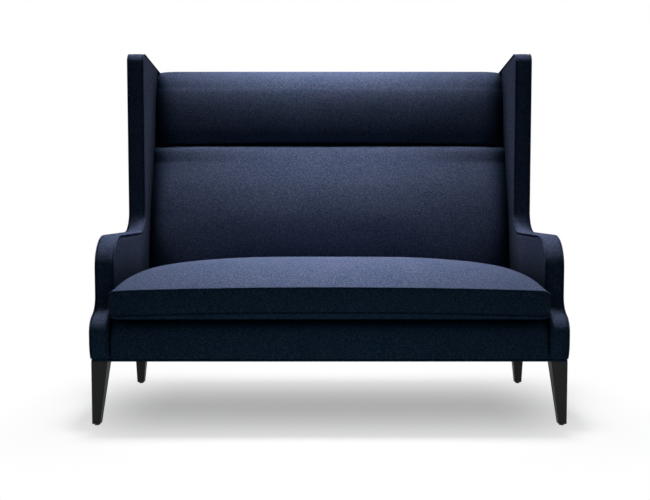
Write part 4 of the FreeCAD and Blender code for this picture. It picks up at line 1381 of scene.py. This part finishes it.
# Half of a staple's wire: sideways and up from the middle of its crown, and the whole wire.
STAPLE_END = ((0.0042, 0.0), (0.0050, 0.0002), (0.0055, 0.0016))
STAPLE = tuple((-aside, rise) for aside, rise in STAPLE_END[::-1]) + STAPLE_END
STAPLES = 30


def make_dust_cover():
    low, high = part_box("dust_cover")
    sag = sizes().sheet_sag
    count_x, count_y = 90, 40
    points = []
    for i in range(count_x + 1):
        for j in range(count_y + 1):
            u, v = i / count_x, j / count_y
            x = low.x + (high.x - low.x) * u
            y = low.y + (high.y - low.y) * v
            middle = 16 * u * (1 - u) * v * (1 - v)
            ripple = swell(x, y * 0.35, 51.0, 0.045, 0.0010) * middle**0.3
            z = high.z - 0.0006 - sag * middle**0.8 + ripple - 0.0002
            points.append(Vector((x, y, min(z, high.z - 0.0002))))
    skin = (points, net_faces(count_x + 1, count_y + 1))
    piece = new_piece("dust_sheet", skin, "lining", SETTEE, ("dust_cover",))
    for polygon in piece.data.polygons:
        if polygon.normal.z > 0:
            polygon.flip()

    staples = []
    level = high.z - 0.0012
    for index in range(STAPLES):
        x = low.x + 0.03 + (high.x - low.x - 0.06) * index / (STAPLES - 1)
        for y in (low.y + 0.010, high.y - 0.010):
            wire = [Vector((x + aside, y, level + rise)) for aside, rise in STAPLE]
            staples.append(lofted(cord_rings(wire, 0.0005, sides=6)))
    new_piece("dust_staples", joined(staples), "steel", SETTEE)


def make_insulator():
    """The felt sheet over the springs."""
    low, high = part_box("spring_insulator")

    def top_at(x, y, part):
        return high.z - 0.0002 + swell(x, y, 61.0, 0.05, 0.0003)

    skin = slab(high.x, low.y, high.y, low.z, (50, 24), top_at)
    crisp_edges(new_piece("spring_felt", skin, "lining", SETTEE, ("spring_insulator",)), 50)


def finish_frame():
    """Gives every CAD node that stays in view its own finish."""
    for part in frame["record"]["subparts"]:
        slot_name = part["material_slot"]
        if slot_name in CAD_SLOTS:
            shown = frame["nodes"][part["node"]]
            shown.data.materials.clear()
            shown.data.materials.append(finish(*FINISHES[slot_name]))


# Studio: metres, watts and degrees.

WHITE = (1.0, 1.0, 1.0)
FLOOR_REACH = 14.0
# The floor's colour for the light that it throws back on the settee.
FLOOR_BOUNCE = (0.11, 0.22, 0.25)
# Where the floor's shadow fades to white, beside and before its middle, and how deep it is: a painted fade
# laid over the lit floor's real shadow.
SHADE_ASIDE = (0.50, 1.05)
SHADE_AHEAD = (0.0, 0.68)
SHADE_MIDDLE = -0.12
SHADE_DEPTH = 0.58
AIR = (0.70, 1.0, 1.0)
AIR_STRENGTH = 0.070
EYE = (0.0, -2.6619, 0.6483)
EYE_TILT = -3.24
EYE_LENS = 44.27
EYE_SHIFT = -0.0068

def background_rays(paint):
    """1 for the rays that show the backdrop: from the camera, a gloss or a glass."""
    seen = None
    for name in ("Is Camera Ray", "Is Glossy Ray", "Is Transmission Ray"):
        ray = paint.node("ShaderNodeLightPath", output=name)
        seen = ray if seen is None else paint.maths("MAXIMUM", seen, ray)
    return seen


def make_floor():
    """A pale floor whose white glow, mixed in by a mask, paints the soft fall-off of the object's real
    shadow.
    """
    reach = FLOOR_REACH
    floor = bpy.data.meshes.new("studio_floor")
    corners = [(-reach, -reach, 0), (reach, -reach, 0), (reach, reach, 0), (-reach, reach, 0)]
    floor.from_pydata(corners, [], [(0, 1, 2, 3)])
    piece = bpy.data.objects.new("studio_floor", floor)
    bpy.context.scene.collection.objects.link(piece)
    material = bpy.data.materials.new("studio_floor_paint")
    material.use_nodes = True
    paint = Paint(material.node_tree)
    pale = paint.node("ShaderNodeBsdfDiffuse", None, {"Color": colours().floor})
    dull = paint.node("ShaderNodeBsdfDiffuse", None, {"Color": FLOOR_BOUNCE})
    white = paint.node("ShaderNodeEmission", None, {"Color": WHITE, "Strength": 1.0})
    seen = background_rays(paint)
    lit = paint.node("ShaderNodeMixShader", None, {0: seen, 1: dull, 2: pale})
    x = paint.node("ShaderNodeSeparateXYZ", None, {0: paint.place()}, "X")
    y = paint.node("ShaderNodeSeparateXYZ", None, {0: paint.place()}, "Y")
    aside = paint.maths("ABSOLUTE", x)
    ahead = paint.maths("ABSOLUTE", y - SHADE_MIDDLE)
    # Painted shadow: in the middle the lit floor's real shadow shows up to SHADE_DEPTH, and outward the mask
    # mixes in white glow, so the shadow's soft fall-off is painted.
    shade = (1 - paint.above(aside, *SHADE_ASIDE)) * (1 - paint.above(ahead, *SHADE_AHEAD))
    glow = (1 - shade * SHADE_DEPTH) * seen
    shader = paint.node("ShaderNodeMixShader", None, {0: glow, 1: lit, 2: white})
    paint.node("ShaderNodeOutputMaterial", None, {"Surface": shader})
    floor.materials.append(material)


def make_light(name, place, aim, extent, power, spread=180.0):
    """A rectangular lamp that is aimed at a point."""
    data = bpy.data.lights.new(name, "AREA")
    data.spread = math.radians(spread)
    data.shape = "RECTANGLE"
    data.size, data.size_y = extent
    data.energy = power
    lamp = bpy.data.objects.new(name, data)
    bpy.context.scene.collection.objects.link(lamp)
    lamp.location = place
    lamp.rotation_euler = (Vector(aim) - Vector(place)).to_track_quat("-Z", "Y").to_euler()


def make_studio():
    scene = bpy.context.scene
    make_floor()
    world = bpy.data.worlds.new("studio_air")
    world.use_nodes = True
    scene.world = world
    paint = Paint(world.node_tree)
    seen = background_rays(paint)
    lighting = paint.node("ShaderNodeBackground", None, {"Color": AIR, "Strength": AIR_STRENGTH})
    backdrop = paint.node("ShaderNodeBackground", None, {"Color": WHITE, "Strength": 1.0})
    surface = paint.node("ShaderNodeMixShader", None, {0: seen, 1: lighting, 2: backdrop})
    paint.node("ShaderNodeOutputWorld", None, {"Surface": surface})
    make_light("key_light", (0.0, 0.42, 3.9), (0.0, -0.04, 0.4), (0.8, 0.8), power=17.9, spread=38.0)
    for side, sign in SIDES:
        make_light(f"side_light_{side}", (sign * 3.4, 0.1, 2.3), (0.0, 0.1, 0.8), (1.2, 1.4), power=3.0)

    camera = bpy.data.cameras.new("studio_camera")
    camera.lens = EYE_LENS
    camera.sensor_width = 36.0
    camera.shift_x = EYE_SHIFT
    eye = bpy.data.objects.new("studio_camera", camera)
    scene.collection.objects.link(eye)
    eye.location = EYE
    eye.rotation_euler = (math.radians(90 + EYE_TILT), 0.0, 0.0)
    scene.camera = eye
    scene.view_settings.view_transform = "Standard"


# Add-on.


class SETTEE_OT_frame(bpy.types.Operator):
    """Give the frame, springs and legs their finishes"""

    bl_idname = "settee.frame"
    bl_label = "Finish the frame and legs"

    def execute(self, context):
        finish_frame()
        return {"FINISHED"}


class SETTEE_OT_sides(bpy.types.Operator):
    """Upholster both sides: inside, outside, facing and welts"""

    bl_idname = "settee.sides"
    bl_label = "Upholster the sides"

    def execute(self, context):
        make_sides()
        return {"FINISHED"}


class SETTEE_OT_back(bpy.types.Operator):
    """Upholster the back: lower pad, bolster and outside panel"""

    bl_idname = "settee.back"
    bl_label = "Upholster the back"

    def execute(self, context):
        make_lower_pad()
        make_bolster()
        make_outside_back()
        return {"FINISHED"}


class SETTEE_OT_base(bpy.types.Operator):
    """Upholster the base: front rail, deck and foot welt"""

    bl_idname = "settee.base"
    bl_label = "Upholster the base"

    def execute(self, context):
        make_front_rail()
        make_deck()
        make_insulator()
        make_base_welt()
        return {"FINISHED"}


class SETTEE_OT_underside(bpy.types.Operator):
    """Staple the dust cover under the frame"""

    bl_idname = "settee.underside"
    bl_label = "Close the underside"

    def execute(self, context):
        make_dust_cover()
        return {"FINISHED"}


class SETTEE_OT_cushion(bpy.types.Operator):
    """Sew and stuff the loose seat cushion"""

    bl_idname = "settee.cushion"
    bl_label = "Make the seat cushion"

    def execute(self, context):
        make_cushion()
        return {"FINISHED"}


class SETTEE_OT_zip(bpy.types.Operator):
    """Sew the zip and its slider into the cushion's rear"""

    bl_idname = "settee.zip"
    bl_label = "Make the zip"

    def execute(self, context):
        make_zip()
        make_slider()
        return {"FINISHED"}


class SETTEE_OT_studio(bpy.types.Operator):
    """Set up the floor, the light and the camera"""

    bl_idname = "settee.studio"
    bl_label = "Set up the studio"

    def execute(self, context):
        make_studio()
        return {"FINISHED"}


class SETTEE_PT_panel(bpy.types.Panel):
    """Sizes, colours and steps of the settee"""

    bl_idname = "SETTEE_PT_panel"
    bl_label = "High back settee"
    bl_space_type = "VIEW_3D"
    bl_region_type = "UI"
    bl_category = "Settee"

    def draw(self, context):
        layout = self.layout
        for group in (context.scene.settee_sizes, context.scene.settee_colours):
            column = layout.column(align=True)
            for name in group.__annotations__:
                column.prop(group, name)
        for step in STEPS:
            layout.operator(step.bl_idname)


STEPS = (
    SETTEE_OT_studio,
    SETTEE_OT_frame,
    SETTEE_OT_sides,
    SETTEE_OT_back,
    SETTEE_OT_base,
    SETTEE_OT_underside,
    SETTEE_OT_cushion,
    SETTEE_OT_zip,
)
CLASSES = (SetteeSizes, SetteeColours, *STEPS, SETTEE_PT_panel)


def register():
    for made in CLASSES:
        bpy.utils.register_class(made)
    bpy.types.Scene.settee_sizes = bpy.props.PointerProperty(type=SetteeSizes)
    bpy.types.Scene.settee_colours = bpy.props.PointerProperty(type=SetteeColours)


def unregister():
    del bpy.types.Scene.settee_sizes
    del bpy.types.Scene.settee_colours
    for made in reversed(CLASSES):
        bpy.utils.unregister_class(made)


def main():
    register()
    bpy.ops.settee.studio()
    bpy.ops.settee.frame()
    bpy.ops.settee.sides()
    bpy.ops.settee.back()
    bpy.ops.settee.base()
    bpy.ops.settee.underside()
    bpy.ops.settee.cushion()
    bpy.ops.settee.zip()


if __name__ == "__main__":
    main()
